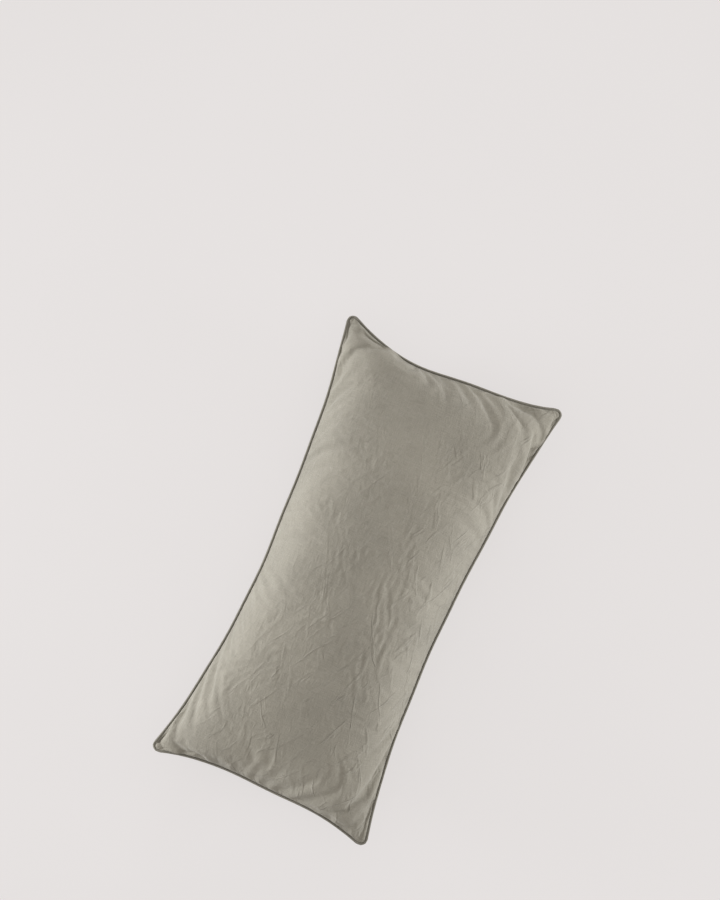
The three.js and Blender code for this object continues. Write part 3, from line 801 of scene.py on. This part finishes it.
def back_piece(name, hand, stands_for):
    """One of the two pieces of the back."""
    s = back_lines(hand, back_t)
    t = np.broadcast_to(back_t, s.shape)
    mesh = sheet_mesh(name, case_surface(s, t, BACK), flat_place(s, t), True)
    piece = put_in_scene(name, mesh, case_cotton, stands_for=[stands_for])
    soften(piece, CLOTH)
    print(name, "has", s.shape[0], "x", s.shape[1], "points")


back_piece("back_panel", 1, "case_back_panel")
back_piece("end_strip", -1, "case_back_end_strip")

# %% [markdown]
# ## Piping
# A cord inside a bias strip, sewn into the seam all round. Its path is the seam's own line,
# walked once round and cut into equal steps. The strip is a tube with two flat legs that run in
# between the panels. A bias strip gathers where it turns a corner, so its radius puckers there.

# %% The seam's path
def seam_path(step):
    """Points that far apart all round the seam, and the way outwards at each."""
    corners = np.array([(-1, -1), (1, -1), (1, 1), (-1, 1), (-1, -1)], float)
    lap = np.concatenate([np.linspace(corners[i], corners[i + 1], 3000)[:-1] for i in range(4)])
    s, t = lap.T
    points = half_surface(s, t, FRONT, seam_gap=0.0) + hand_made(s, t, FRONT)
    ring = np.concatenate([points, points[:1]])
    walked = np.concatenate([[0], np.cumsum(np.linalg.norm(np.diff(ring, axis=0), axis=1))])
    stations = int(round(walked[-1] / step))
    places = np.linspace(0, walked[-1], stations, endpoint=False)
    path = np.stack([np.interp(places, walked, ring[:, axis]) for axis in range(3)], -1)
    run = np.roll(path, -1, 0) - np.roll(path, 1, 0)
    run[:, 2] = 0
    run /= np.linalg.norm(run, axis=1, keepdims=True)
    outward = np.stack([run[:, 1], -run[:, 0], np.zeros(stations)], -1)
    return path, outward, places


SEAM_STEP = 0.0024
seam, seam_outward, seam_walked = seam_path(SEAM_STEP)
print("seam", round(float(seam_walked[-1]), 3), "m round,", len(seam), "stations")

# %% Piping strip
CORD_RADIUS, STRIP_CLOTH, CLEARANCE = 0.0011, 0.0005, 0.0002
BULB_INNER = CORD_RADIUS + CLEARANCE
BULB_OUTER = BULB_INNER + STRIP_CLOTH
BULB_CENTRE = BULB_OUTER + 2 * CLEARANCE
LEG_LENGTH = 0.006


def strip_section():
    """Points of the folded strip, [outwards, up] from the seam's line, and how much each
    swells where the strip puckers."""
    outer_turn = math.pi - math.asin((CLEARANCE + STRIP_CLOTH) / BULB_OUTER)
    inner_turn = math.pi - math.asin(CLEARANCE / BULB_INNER)
    outer = [(BULB_CENTRE + BULB_OUTER * math.cos(a), BULB_OUTER * math.sin(a), 1)
             for a in np.linspace(-outer_turn, outer_turn, 15)]
    inner_side = [(BULB_CENTRE + BULB_INNER * math.cos(a), BULB_INNER * math.sin(a), 0)
                  for a in np.linspace(inner_turn, -inner_turn, 9)]
    lower = [(-LEG_LENGTH, -CLEARANCE, 0), (-LEG_LENGTH, -CLEARANCE - STRIP_CLOTH, 0)]
    upper = [(-LEG_LENGTH, CLEARANCE + STRIP_CLOTH, 0), (-LEG_LENGTH, CLEARANCE, 0)]
    return np.array(lower + outer + upper + inner_side)


def sweep(section, pucker):
    """Carries a closed section round the seam and gives the points of each ring."""
    out, up, swells = section.T
    swell = 1 + swells * pucker[:, None] / BULB_OUTER
    outwards = BULB_CENTRE + (out - BULB_CENTRE) * swell
    upwards = up * swell
    return (seam[:, None, :] + seam_outward[:, None, :] * outwards[..., None]
            + np.array([0, 0, 1.0]) * upwards[..., None])


def ring_mesh(name, rings):
    stations, around = rings.shape[:2]
    numbers = np.arange(stations * around).reshape(stations, around)
    numbers = np.concatenate([numbers, numbers[:1]])
    numbers = np.concatenate([numbers, numbers[:, :1]], 1)
    mesh = bpy.data.meshes.new(name)
    mesh.from_pydata(rings.reshape(-1, 3).tolist(), [], grid_faces(numbers, True).tolist())
    return mesh


CORNER_PUCKER = 0.0072
turning = 1 - np.abs((np.roll(seam_outward, 3, 0) * np.roll(seam_outward, -3, 0)).sum(1))
turning = np.clip(turning / 0.15, 0, 1)
rough = np.random.default_rng(8).normal(0, 1, len(seam))
rough = 0.5 * rough + 0.25 * (np.roll(rough, 1) + np.roll(rough, -1))
gathered_up = turning * np.sin(FULL_TURN * seam_walked / CORNER_PUCKER)
puckers = 0.00005 + 0.00006 * rough + 0.00018 * gathered_up
# The strip gets the piping cotton, with its painted shade.
strip = put_in_scene("piping_strip", ring_mesh("piping_strip", sweep(strip_section(), puckers)),
                     piping_cotton, stands_for=["piping_cover"])
print("piping strip", len(strip.data.polygons), "faces")

# %% [markdown]
# ## Geometry Nodes
# The cord, the zip's coil and every row of stitches follow a path and repeat one shape, which is
# what Geometry Nodes are for. Each tree has named inputs, and after it runs its result becomes
# a plain mesh. The helpers below start a tree, set its inputs and run it.

# %% Tree helpers
class Tree:
    """A Geometry Nodes tree under construction."""

    def __init__(self, name, **inputs):
        self.group = bpy.data.node_groups.new(name, "GeometryNodeTree")
        new_socket = self.group.interface.new_socket
        new_socket("Geometry", in_out="INPUT", socket_type="NodeSocketGeometry")
        for label, kind in inputs.items():
            new_socket(label.replace("_", " "), in_out="INPUT", socket_type="NodeSocket" + kind)
        new_socket("Geometry", in_out="OUTPUT", socket_type="NodeSocketGeometry")
        self.inputs = self.group.nodes.new("NodeGroupInput").outputs
        self.output = self.group.nodes.new("NodeGroupOutput")

    def node(self, kind, inputs=None, **settings):
        return new_node(self.group, kind, inputs, **settings).outputs

    def maths(self, operation, first, second):
        return self.node("ShaderNodeMath", {0: first, 1: second}, operation=operation)[0]

    def end(self, geometry):
        real = self.node("GeometryNodeRealizeInstances", {"Geometry": geometry})["Geometry"]
        done = self.node("GeometryNodeSetMaterial", {
            "Geometry": real, "Material": self.inputs["Material"]})
        self.group.links.new(done["Geometry"], self.output.inputs["Geometry"])
        return self.group


def ring_path(name, points):
    """A closed line as a mesh of edges."""
    mesh = bpy.data.meshes.new(name)
    count = len(points)
    mesh.from_pydata(points.tolist(), [(i, (i + 1) % count) for i in range(count)], [])
    return mesh


def row_paths(name, rows):
    """Open lines as a mesh of edges. Each point also carries the way that its cloth faces."""
    steps, start = [], 0
    for points, _ in rows:
        steps += [(start + i, start + i + 1) for i in range(len(points) - 1)]
        start += len(points)
    mesh = bpy.data.meshes.new(name)
    mesh.from_pydata(np.concatenate([points for points, _ in rows]).tolist(), steps, [])
    facing = np.concatenate([facing for _, facing in rows]).astype(np.float32)
    carried = mesh.attributes.new("facing", "FLOAT_VECTOR", "POINT")
    carried.data.foreach_set("vector", facing.ravel())
    return mesh


def run_tree(name, group, start_mesh, **values):
    """Runs a tree on a mesh and returns its result as a plain mesh."""
    holder = bpy.data.objects.new(name + "_path", start_mesh)
    scene.collection.objects.link(holder)
    modifier = holder.modifiers.new(group.name, "NODES")
    modifier.node_group = group
    for item in group.interface.items_tree:
        label = item.name.replace(" ", "_")
        if item.in_out == "INPUT" and label in values:
            modifier[item.identifier] = values[label]
    bpy.context.view_layer.update()
    result = holder.evaluated_get(bpy.context.evaluated_depsgraph_get())
    mesh = bpy.data.meshes.new_from_object(result)
    mesh.name = name
    bpy.data.objects.remove(holder)
    return mesh

# %% [markdown]
# ### Piping cord
# The cord is three strands laid together. A circle with three lobes runs along the seam's path
# and turns a little more at each step, which is just how a rope is laid.

# %% Piping cord
cord_cotton = Finish("cord_cotton", 0.95, Sheen_Weight=0.2)
cord_place = cord_cotton.node("TexCoord").outputs["Object"]
cord_fibres = cord_cotton.noise(cord_place, 900.0, 3.0)
cord_cotton.finish(
    cord_cotton.colours(cord_fibres, (0.3, (0.66, 0.62, 0.53)), (0.7, (0.80, 0.77, 0.68))),
    cord_cotton.raised(cord_fibres, 0.0003))


def laid_cord_tree():
    tree = Tree("laid_cord", Radius="Float", Lay="Float", Material="Material")
    path = tree.node("GeometryNodeMeshToCurve", {"Mesh": tree.inputs["Geometry"]})["Curve"]
    index = tree.node("GeometryNodeInputIndex")["Index"]
    turned = tree.node("GeometryNodeSetCurveTilt", {
        "Curve": path, "Tilt": tree.maths("MULTIPLY", index, tree.inputs["Lay"])})["Curve"]
    circle = tree.node("GeometryNodeCurvePrimitiveCircle", {
        "Resolution": 9, "Radius": tree.inputs["Radius"]})["Curve"]
    between_lobes = tree.maths("LESS_THAN", tree.maths("MODULO", index, 3), 0.5)
    share = tree.maths("ADD", tree.maths("MULTIPLY", between_lobes, -0.22), 1.0)
    place = tree.node("GeometryNodeInputPosition")["Position"]
    scaled = tree.node("ShaderNodeVectorMath", {0: place, "Scale": share},
                       operation="SCALE")["Vector"]
    lobed = tree.node("GeometryNodeSetPosition", {
        "Geometry": circle, "Position": scaled})["Geometry"]
    tube = tree.node("GeometryNodeCurveToMesh", {"Curve": turned, "Profile Curve": lobed})["Mesh"]
    return tree.end(tube)


STATIONS_IN_LAY = 9
cord_path = ring_path("cord_path", seam + seam_outward * BULB_CENTRE)
lay_turns = round(len(seam) / STATIONS_IN_LAY)
cord_mesh = run_tree("piping_cord_laid", laid_cord_tree(), cord_path, Radius=CORD_RADIUS,
                     Lay=FULL_TURN * lay_turns / len(seam), Material=cord_cotton.material)
cord = put_in_scene("piping_cord_laid", cord_mesh, cord_cotton.material,
                    stands_for=["piping_cord"])
print("piping cord", len(cord.data.polygons), "faces")

# %% [markdown]
# ### Zip coil
# Each half of the zip is one nylon thread wound in a flat coil, and the two coils mesh like the
# teeth of two combs. A spiral is squashed to the coil's width and height. Where the slider
# stands, the coils part round its wedge, so there the loops move aside.

# %% Zip coils
zip_nylon = Finish("zip_nylon", 0.42, Specular_IOR_Level=0.45)
nylon_place = zip_nylon.node("TexCoord").outputs["Object"]
nylon_tone = zip_nylon.noise(nylon_place, 300.0, 2.0)
zip_nylon.finish(
    zip_nylon.colours(nylon_tone, (0.3, (0.20, 0.187, 0.158)), (0.7, (0.25, 0.232, 0.197))),
    zip_nylon.raised(zip_nylon.noise(nylon_place, 2500.0), 0.00002))

COIL_GAP, COIL_WIDTH, COIL_HEIGHT = 0.00025, 0.0021, 0.0015
COIL_MIDDLE_DEPTH = 0.00045
COIL_OVERLAP = 0.0005
STOP_LENGTH, SLIDER_HALF = 0.003, 0.0045
SLIDER_PLACE = ZIP_END - STOP_LENGTH - 2 * CLEARANCE - SLIDER_HALF
SPLAY = 0.00125
COIL_FROM, COIL_TO = -ZIP_END + STOP_LENGTH + 0.0013, ZIP_END - STOP_LENGTH - CLEARANCE


def zip_coil_tree():
    tree = Tree("zip_coil", From="Float", To="Float", Turns="Int", Width="Float", Height="Float",
                Thread="Float", Outer_edge="Float", Hand="Float", Splay="Float",
                Splay_start="Float", Splay_end="Float", Material="Material")
    length = tree.maths("SUBTRACT", tree.inputs["To"], tree.inputs["From"])
    spiral = tree.node("GeometryNodeCurveSpiral", {
        "Resolution": 8, "Rotations": tree.inputs["Turns"], "Start Radius": 1.0,
        "End Radius": 1.0, "Height": length})["Curve"]
    position = tree.node("GeometryNodeInputPosition")["Position"]
    place = tree.node("ShaderNodeSeparateXYZ", {0: position})
    y = tree.maths("ADD", place["Z"], tree.inputs["From"])
    half = tree.maths("MULTIPLY", tree.inputs["Width"], 0.5)
    from_outer = tree.maths("MULTIPLY", tree.maths("SUBTRACT", 1.0, place["X"]), half)
    parted = tree.node("ShaderNodeMapRange", {
        "Value": y, "From Min": tree.inputs["Splay start"], "From Max": tree.inputs["Splay end"],
    }, interpolation_type="SMOOTHSTEP")["Result"]
    squeezed = tree.maths("MULTIPLY", tree.maths("MULTIPLY", parted, from_outer), 0.24)
    drawn_back = tree.maths("SUBTRACT", from_outer, squeezed)
    splayed = tree.maths("MULTIPLY", parted, tree.inputs["Splay"])
    outer_edge = tree.maths("ADD", tree.inputs["Outer edge"], splayed)
    across = tree.maths("SUBTRACT", outer_edge, drawn_back)
    half_height = tree.maths("MULTIPLY", tree.inputs["Height"], 0.5)
    moved = tree.node("ShaderNodeCombineXYZ", {
        "X": tree.maths("MULTIPLY", across, tree.inputs["Hand"]), "Y": y,
        "Z": tree.maths("MULTIPLY", place["Y"], half_height)})["Vector"]
    coil = tree.node("GeometryNodeSetPosition", {"Geometry": spiral, "Position": moved})["Geometry"]
    profile = tree.node("GeometryNodeCurvePrimitiveCircle", {
        "Resolution": 5, "Radius": tree.inputs["Thread"]})["Curve"]
    thread = tree.node("GeometryNodeCurveToMesh", {
        "Curve": coil, "Profile Curve": profile, "Fill Caps": True})["Mesh"]
    return tree.end(thread)


COIL_PITCH, COIL_THREAD = 0.0015, 0.00027
coil_tree = zip_coil_tree()
coil_turns = int((COIL_TO - COIL_FROM - 0.001) / COIL_PITCH)


def zip_coil(side, hand, shift):
    """One coil. hand is the way it lies from the zip's middle, and shift is along the zip."""
    name = "coil_" + side
    start = COIL_FROM + 0.0004 + shift
    mesh = run_tree(
        name, coil_tree, bpy.data.meshes.new(name + "_start"),
        From=start, To=start + coil_turns * COIL_PITCH, Turns=coil_turns,
        Width=COIL_WIDTH + COIL_OVERLAP - 2 * COIL_THREAD, Height=COIL_HEIGHT - 2 * COIL_THREAD,
        Thread=COIL_THREAD, Outer_edge=COIL_GAP + COIL_WIDTH - COIL_THREAD, Hand=float(hand),
        Splay=SPLAY, Splay_start=SLIDER_PLACE - 0.0018, Splay_end=SLIDER_PLACE + 0.0019,
        Material=zip_nylon.material)
    mesh.transform(zip_matrix @ Matrix.Translation((0, 0, COIL_MIDDLE_DEPTH)))
    put_in_scene(name, mesh, zip_nylon.material, stands_for=["zip_" + name])
    print(name, coil_turns, "turns,", len(mesh.polygons), "faces")


zip_coil("body_side", 1, 0.0)
zip_coil("end_side", -1, COIL_PITCH / 4)

# %% [markdown]
# ### Stitches
# A stitch is a short arc of thread that dips into the cloth at both ends. One tree lays stitches
# along any path at a set pitch. Each path carries the direction that its cloth faces, so that the
# arcs stand up from it. The zip is sewn in with two rows, and short rows close its ends.

# %% Stitch tree
sewing_thread = Finish("sewing_thread", 0.6, Sheen_Weight=0.15)
thread_place = sewing_thread.node("TexCoord").outputs["Object"]
ply = sewing_thread.threads(thread_place, "DIAGONAL", 0.0005)
sewing_thread.finish(
    sewing_thread.colours(ply, (0.2, (0.27, 0.252, 0.212)), (0.8, (0.38, 0.355, 0.30))),
    sewing_thread.raised(ply, 0.00006))


def stitch_tree():
    tree = Tree("stitch_row", Pitch="Float", Length="Float", Lift="Float", Thread="Float",
                Material="Material")
    path = tree.node("GeometryNodeMeshToCurve", {"Mesh": tree.inputs["Geometry"]})["Curve"]
    spots = tree.node("GeometryNodeResampleCurve", {
        "Curve": path, "Length": tree.inputs["Pitch"]}, mode="LENGTH")["Curve"]
    half = tree.maths("MULTIPLY", tree.inputs["Length"], 0.5)
    ends = [tree.node("ShaderNodeCombineXYZ", {"X": x, "Z": z})["Vector"] for x, z in (
        (tree.maths("MULTIPLY", half, -1.0), 0.0), (0.0, tree.inputs["Lift"]), (half, 0.0))]
    arc = tree.node("GeometryNodeCurveQuadraticBezier", {
        "Resolution": 4, "Start": ends[0], "Middle": ends[1], "End": ends[2]})["Curve"]
    profile = tree.node("GeometryNodeCurvePrimitiveCircle", {
        "Resolution": 5, "Radius": tree.inputs["Thread"]})["Curve"]
    stitch = tree.node("GeometryNodeCurveToMesh", {
        "Curve": arc, "Profile Curve": profile, "Fill Caps": True})["Mesh"]
    tangent = tree.node("GeometryNodeInputTangent")["Tangent"]
    facing = tree.node("GeometryNodeInputNamedAttribute", {"Name": "facing"},
                       data_type="FLOAT_VECTOR")["Attribute"]
    along = tree.node("FunctionNodeAlignRotationToVector", {"Vector": tangent}, axis="X")["Rotation"]
    upright = tree.node("FunctionNodeAlignRotationToVector", {
        "Rotation": along, "Vector": facing}, axis="Z", pivot_axis="X")["Rotation"]
    laid = tree.node("GeometryNodeInstanceOnPoints", {
        "Points": spots, "Instance": stitch, "Rotation": upright})["Instances"]
    return tree.end(laid)


stitch_row = stitch_tree()


def back_normal(s, t):
    """The way that the back's outer face points."""
    step = 0.003
    along_s = case_surface(s + step, t, BACK) - case_surface(s - step, t, BACK)
    along_t = case_surface(s, t + step, BACK) - case_surface(s, t - step, BACK)
    normal = -np.cross(along_s, along_t)
    return normal / np.linalg.norm(normal, axis=-1, keepdims=True)

# %% Topstitching beside the zip
ROW_FROM_MIDDLE = 0.0072
ROW_END = ZIP_END + 0.0095
STITCH_UP = 0.00018


def zip_row(across_from, across_to, along_from, along_to, points=60):
    """Points of a straight row beside the zip, and the way that the cloth faces at each."""
    across = np.linspace(across_from, across_to, points)
    along = np.linspace(along_from, along_to, points)
    s, t = ZIP_S + across / METRES_PER_S, along / METRES_PER_T
    facing = back_normal(s, t)
    return case_surface(s, t, BACK) + STITCH_UP * facing, facing


STITCH = {"Pitch": 0.0027, "Length": 0.0023, "Lift": 0.0006, "Thread": 0.00019}
CLOSING_FROM, CLOSING_TO = 0.0022, ROW_FROM_MIDDLE - 0.001
for side, hand in (("body_side", 1), ("end_side", -1)):
    name = "topstitch_" + side
    rows = [zip_row(hand * ROW_FROM_MIDDLE, hand * ROW_FROM_MIDDLE, -ROW_END, ROW_END)]
    rows += [zip_row(hand * CLOSING_FROM, hand * CLOSING_TO, y, y, 6) for y in (-ROW_END, ROW_END)]
    mesh = run_tree(name, stitch_row, row_paths(name, rows),
                    Material=sewing_thread.material, **STITCH)
    put_in_scene(name, mesh, sewing_thread.material)
    print(name, len(mesh.polygons), "faces")

# %% [markdown]
# ## Zip tapes, stops, slider and tab
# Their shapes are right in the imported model, so they stay, and only their finish is made here.
# The tape is a tight twill: rows at a slant. The metal is cast zinc with a dull coat, rubbed
# brighter on its high places. A small bevel takes the sharpness off the castings' edges.

# %% Tape and metal
zip_tape = Finish("zip_tape", 0.85, Sheen_Weight=0.1)
tape_place = zip_tape.node("TexCoord").outputs["Object"]
twill = zip_tape.threads(tape_place, "DIAGONAL", 0.0007, 0.2)
tape_rib = zip_tape.threads(tape_place, "Y", 0.0006, 0.2)
zip_tape.finish(
    zip_tape.colours(zip_tape.maths("MULTIPLY", twill, zip_tape.noise(tape_place, 600.0)),
                     (0.1, (0.17, 0.158, 0.134)), (0.6, (0.255, 0.238, 0.203))),
    zip_tape.raised(tape_rib, 0.00005, 1.0, zip_tape.raised(twill, 0.00010)))

zip_metal = Finish("zip_metal", 0.34, Metallic=0.85)
metal_place = zip_metal.node("TexCoord").outputs["Object"]
wear = zip_metal.noise(metal_place, 260.0, 4.0, 0.6)
rubbed = zip_metal.node("NewGeometry").outputs["Pointiness"]
worn = zip_metal.maths("MULTIPLY", zip_metal.maths("ADD", wear, rubbed), 0.5)
dulled = zip_metal.node("MapRange", {"Value": wear, "To Min": 0.28, "To Max": 0.46})
zip_metal.finish(
    zip_metal.colours(worn, (0.40, (0.30, 0.285, 0.25)), (0.56, (0.44, 0.42, 0.38)),
                      (0.66, (0.62, 0.60, 0.56))),
    zip_metal.raised(zip_metal.noise(metal_place, 1800.0, 2.0), 0.00003),
    dulled.outputs["Result"])


def give(node, material, bevel=0.0):
    """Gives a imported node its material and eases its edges."""
    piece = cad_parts[node]
    piece.data.materials.clear()
    piece.data.materials.append(material)
    if bevel:
        edge = piece.modifiers.new("eased", "BEVEL")
        edge.width = bevel
        edge.segments = 2
        edge.limit_method = "ANGLE"
        edge.angle_limit = math.radians(40)
        edge.use_clamp_overlap = True


for node in ("zip_tape_body_side", "zip_tape_end_side"):
    give(node, zip_tape.material)
for node in ("zip_top_stop_body_side", "zip_top_stop_end_side", "zip_bottom_stop"):
    give(node, zip_metal.material, 0.0003)
for node in ("zip_slider", "zip_pull_tab"):
    give(node, zip_metal.material, 0.00018)

# %% [markdown]
# ## Care label
# A blank satin label sewn inside the back's side seam. It is a small ribbon that lies on the
# panel's inner face and lifts a little towards its free edge.

# %% Care label
label_satin = Finish("label_satin", 0.45, Sheen_Weight=0.15, Specular_IOR_Level=0.4)
label_place = label_satin.node("TexCoord").outputs["Object"]
label_rows = label_satin.threads(label_place, "X", 0.0005, 0.2)
label_satin.finish(
    label_satin.colours(label_satin.noise(label_place, 60.0), (0.3, (0.80, 0.78, 0.73)),
                        (0.7, (0.88, 0.865, 0.82))),
    label_satin.raised(label_rows, 0.00004))

LABEL_LENGTH, LABEL_WIDTH, LABEL_FROM_MIDDLE = 0.045, 0.026, 0.250
label_middle = -LABEL_FROM_MIDDLE / (CASE_LENGTH / 2)
label_half = LABEL_WIDTH / 2 / (CASE_LENGTH / 2)
seam_angle = math.asin(1 - (LEG_LENGTH + 0.003) / (CASE_WIDTH / 2))
angles = np.linspace(seam_angle, 0.1, 900)
down = half_surface(label_middle, np.sin(angles), BACK)
walked = np.concatenate([[0], np.cumsum(np.linalg.norm(np.diff(down, axis=0), axis=1))])
angles = np.interp(np.linspace(LABEL_LENGTH, 0, 25), walked, angles)
label_s, label_t = np.meshgrid(
    np.linspace(label_middle - label_half, label_middle + label_half, 15), np.sin(angles),
    indexing="ij")
from_seam = 1 - (label_t - label_t.min()) / np.ptp(label_t)
lift = 0.0019 + 0.0005 * from_seam * (1 + np.sin(260 * label_s))
inwards = -back_normal(label_s, label_t)
label_points = case_surface(label_s, label_t, BACK) + inwards * lift[..., None]
label_mesh = sheet_mesh("care_label_satin", label_points, np.stack([label_s, label_t], -1), True)
label = put_in_scene("care_label_satin", label_mesh, label_satin.material,
                     stands_for=["care_label"])
soften(label, 0.0003)

# %% [markdown]
# ## Insert
# Inside is a plain ticking bag, a little smaller than the case, and the fibre that fills it. They
# use the same rule as the case, set inwards, and follow the smoothed field, so they stay just
# under the case's cloth everywhere.

# %% Ticking
ticking = Finish("ticking", 0.93, Sheen_Weight=0.15)
ticking_place = ticking.node("UVMap", uv_map="flat").outputs["UV"]
ticking_weave = ticking.maths("MULTIPLY", ticking.threads(ticking_place, "X", 0.0007),
                              ticking.threads(ticking_place, "Y", 0.0007))
ticking_rumple = ticking.raised(ticking.noise(ticking_place, 40.0, 4.0), 0.002, 0.4)
ticking.finish(
    ticking.colours(ticking.noise(ticking_place, 25.0, 3.0), (0.35, (0.76, 0.735, 0.67)),
                    (0.65, (0.84, 0.815, 0.75))),
    ticking.raised(ticking_weave, 0.0002, 1.0, ticking_rumple))

INSERT_INSET, INSERT_LOWERED, TICKING_CLOTH = 0.013, 0.004, 0.0008
insert_s, insert_t = np.meshgrid(s_lines[::2], t_lines[::2], indexing="ij")
insert_flat = flat_place(insert_s, insert_t)
for side, place in ((FRONT, "top"), (BACK, "bottom")):
    name = "ticking_" + place
    points = insert_surface(insert_s, insert_t, side, INSERT_INSET, INSERT_LOWERED)
    panel = put_in_scene(name, sheet_mesh(name, points, insert_flat, side == BACK),
                         ticking.material, stands_for=[f"insert_{place}_panel"])
    soften(panel, TICKING_CLOTH)

# %% Fibre filling
fibre = Finish("fibre", 0.98, Sheen_Weight=0.3, Subsurface_Weight=0.1)
fibre_place = fibre.node("TexCoord").outputs["Object"]
wisps = fibre.noise(fibre.stretched(fibre_place, 60, 260, 140), 1.0, 6.0, 0.7, 2.5)
fibre.finish(
    fibre.colours(wisps, (0.3, (0.80, 0.79, 0.75)), (0.7, (0.93, 0.92, 0.89))),
    fibre.raised(wisps, 0.004, 0.7))

FILL_INSET, FILL_LOWERED = 0.018, 0.009


def filling_mesh():
    """The filling's top and bottom as one closed mesh, which share their edge."""
    s, t = insert_s, insert_t
    lumps = smooth_noise(s * 0.38, t * 0.17, (0.03, 0.09), 0.0007, 77)
    sunk = (np.abs(lumps) + 0.0005) * (np.abs(s) < 0.98) * (np.abs(t) < 0.97)
    top, bottom = (insert_surface(s, t, side, FILL_INSET, FILL_LOWERED) for side in (FRONT, BACK))
    top[..., 2] -= sunk
    bottom[..., 2] += sunk
    edge = np.zeros(s.shape, bool)
    edge[[0, -1]] = edge[:, [0, -1]] = True
    top[edge] = (top[edge] + bottom[edge]) / 2
    top_numbers = np.arange(s.size).reshape(s.shape)
    bottom_numbers = top_numbers.copy()
    bottom_numbers[~edge] = s.size + np.arange((~edge).sum())
    points = np.concatenate([top.reshape(-1, 3), bottom[~edge]])
    faces = np.concatenate([grid_faces(top_numbers, False), grid_faces(bottom_numbers, True)])
    mesh = bpy.data.meshes.new("fibre_filling")
    mesh.from_pydata(points.tolist(), [], faces.tolist())
    return mesh


filling = put_in_scene("fibre_filling", filling_mesh(), fibre.material,
                       stands_for=["insert_fill"])
print("filling", len(filling.data.polygons), "faces")
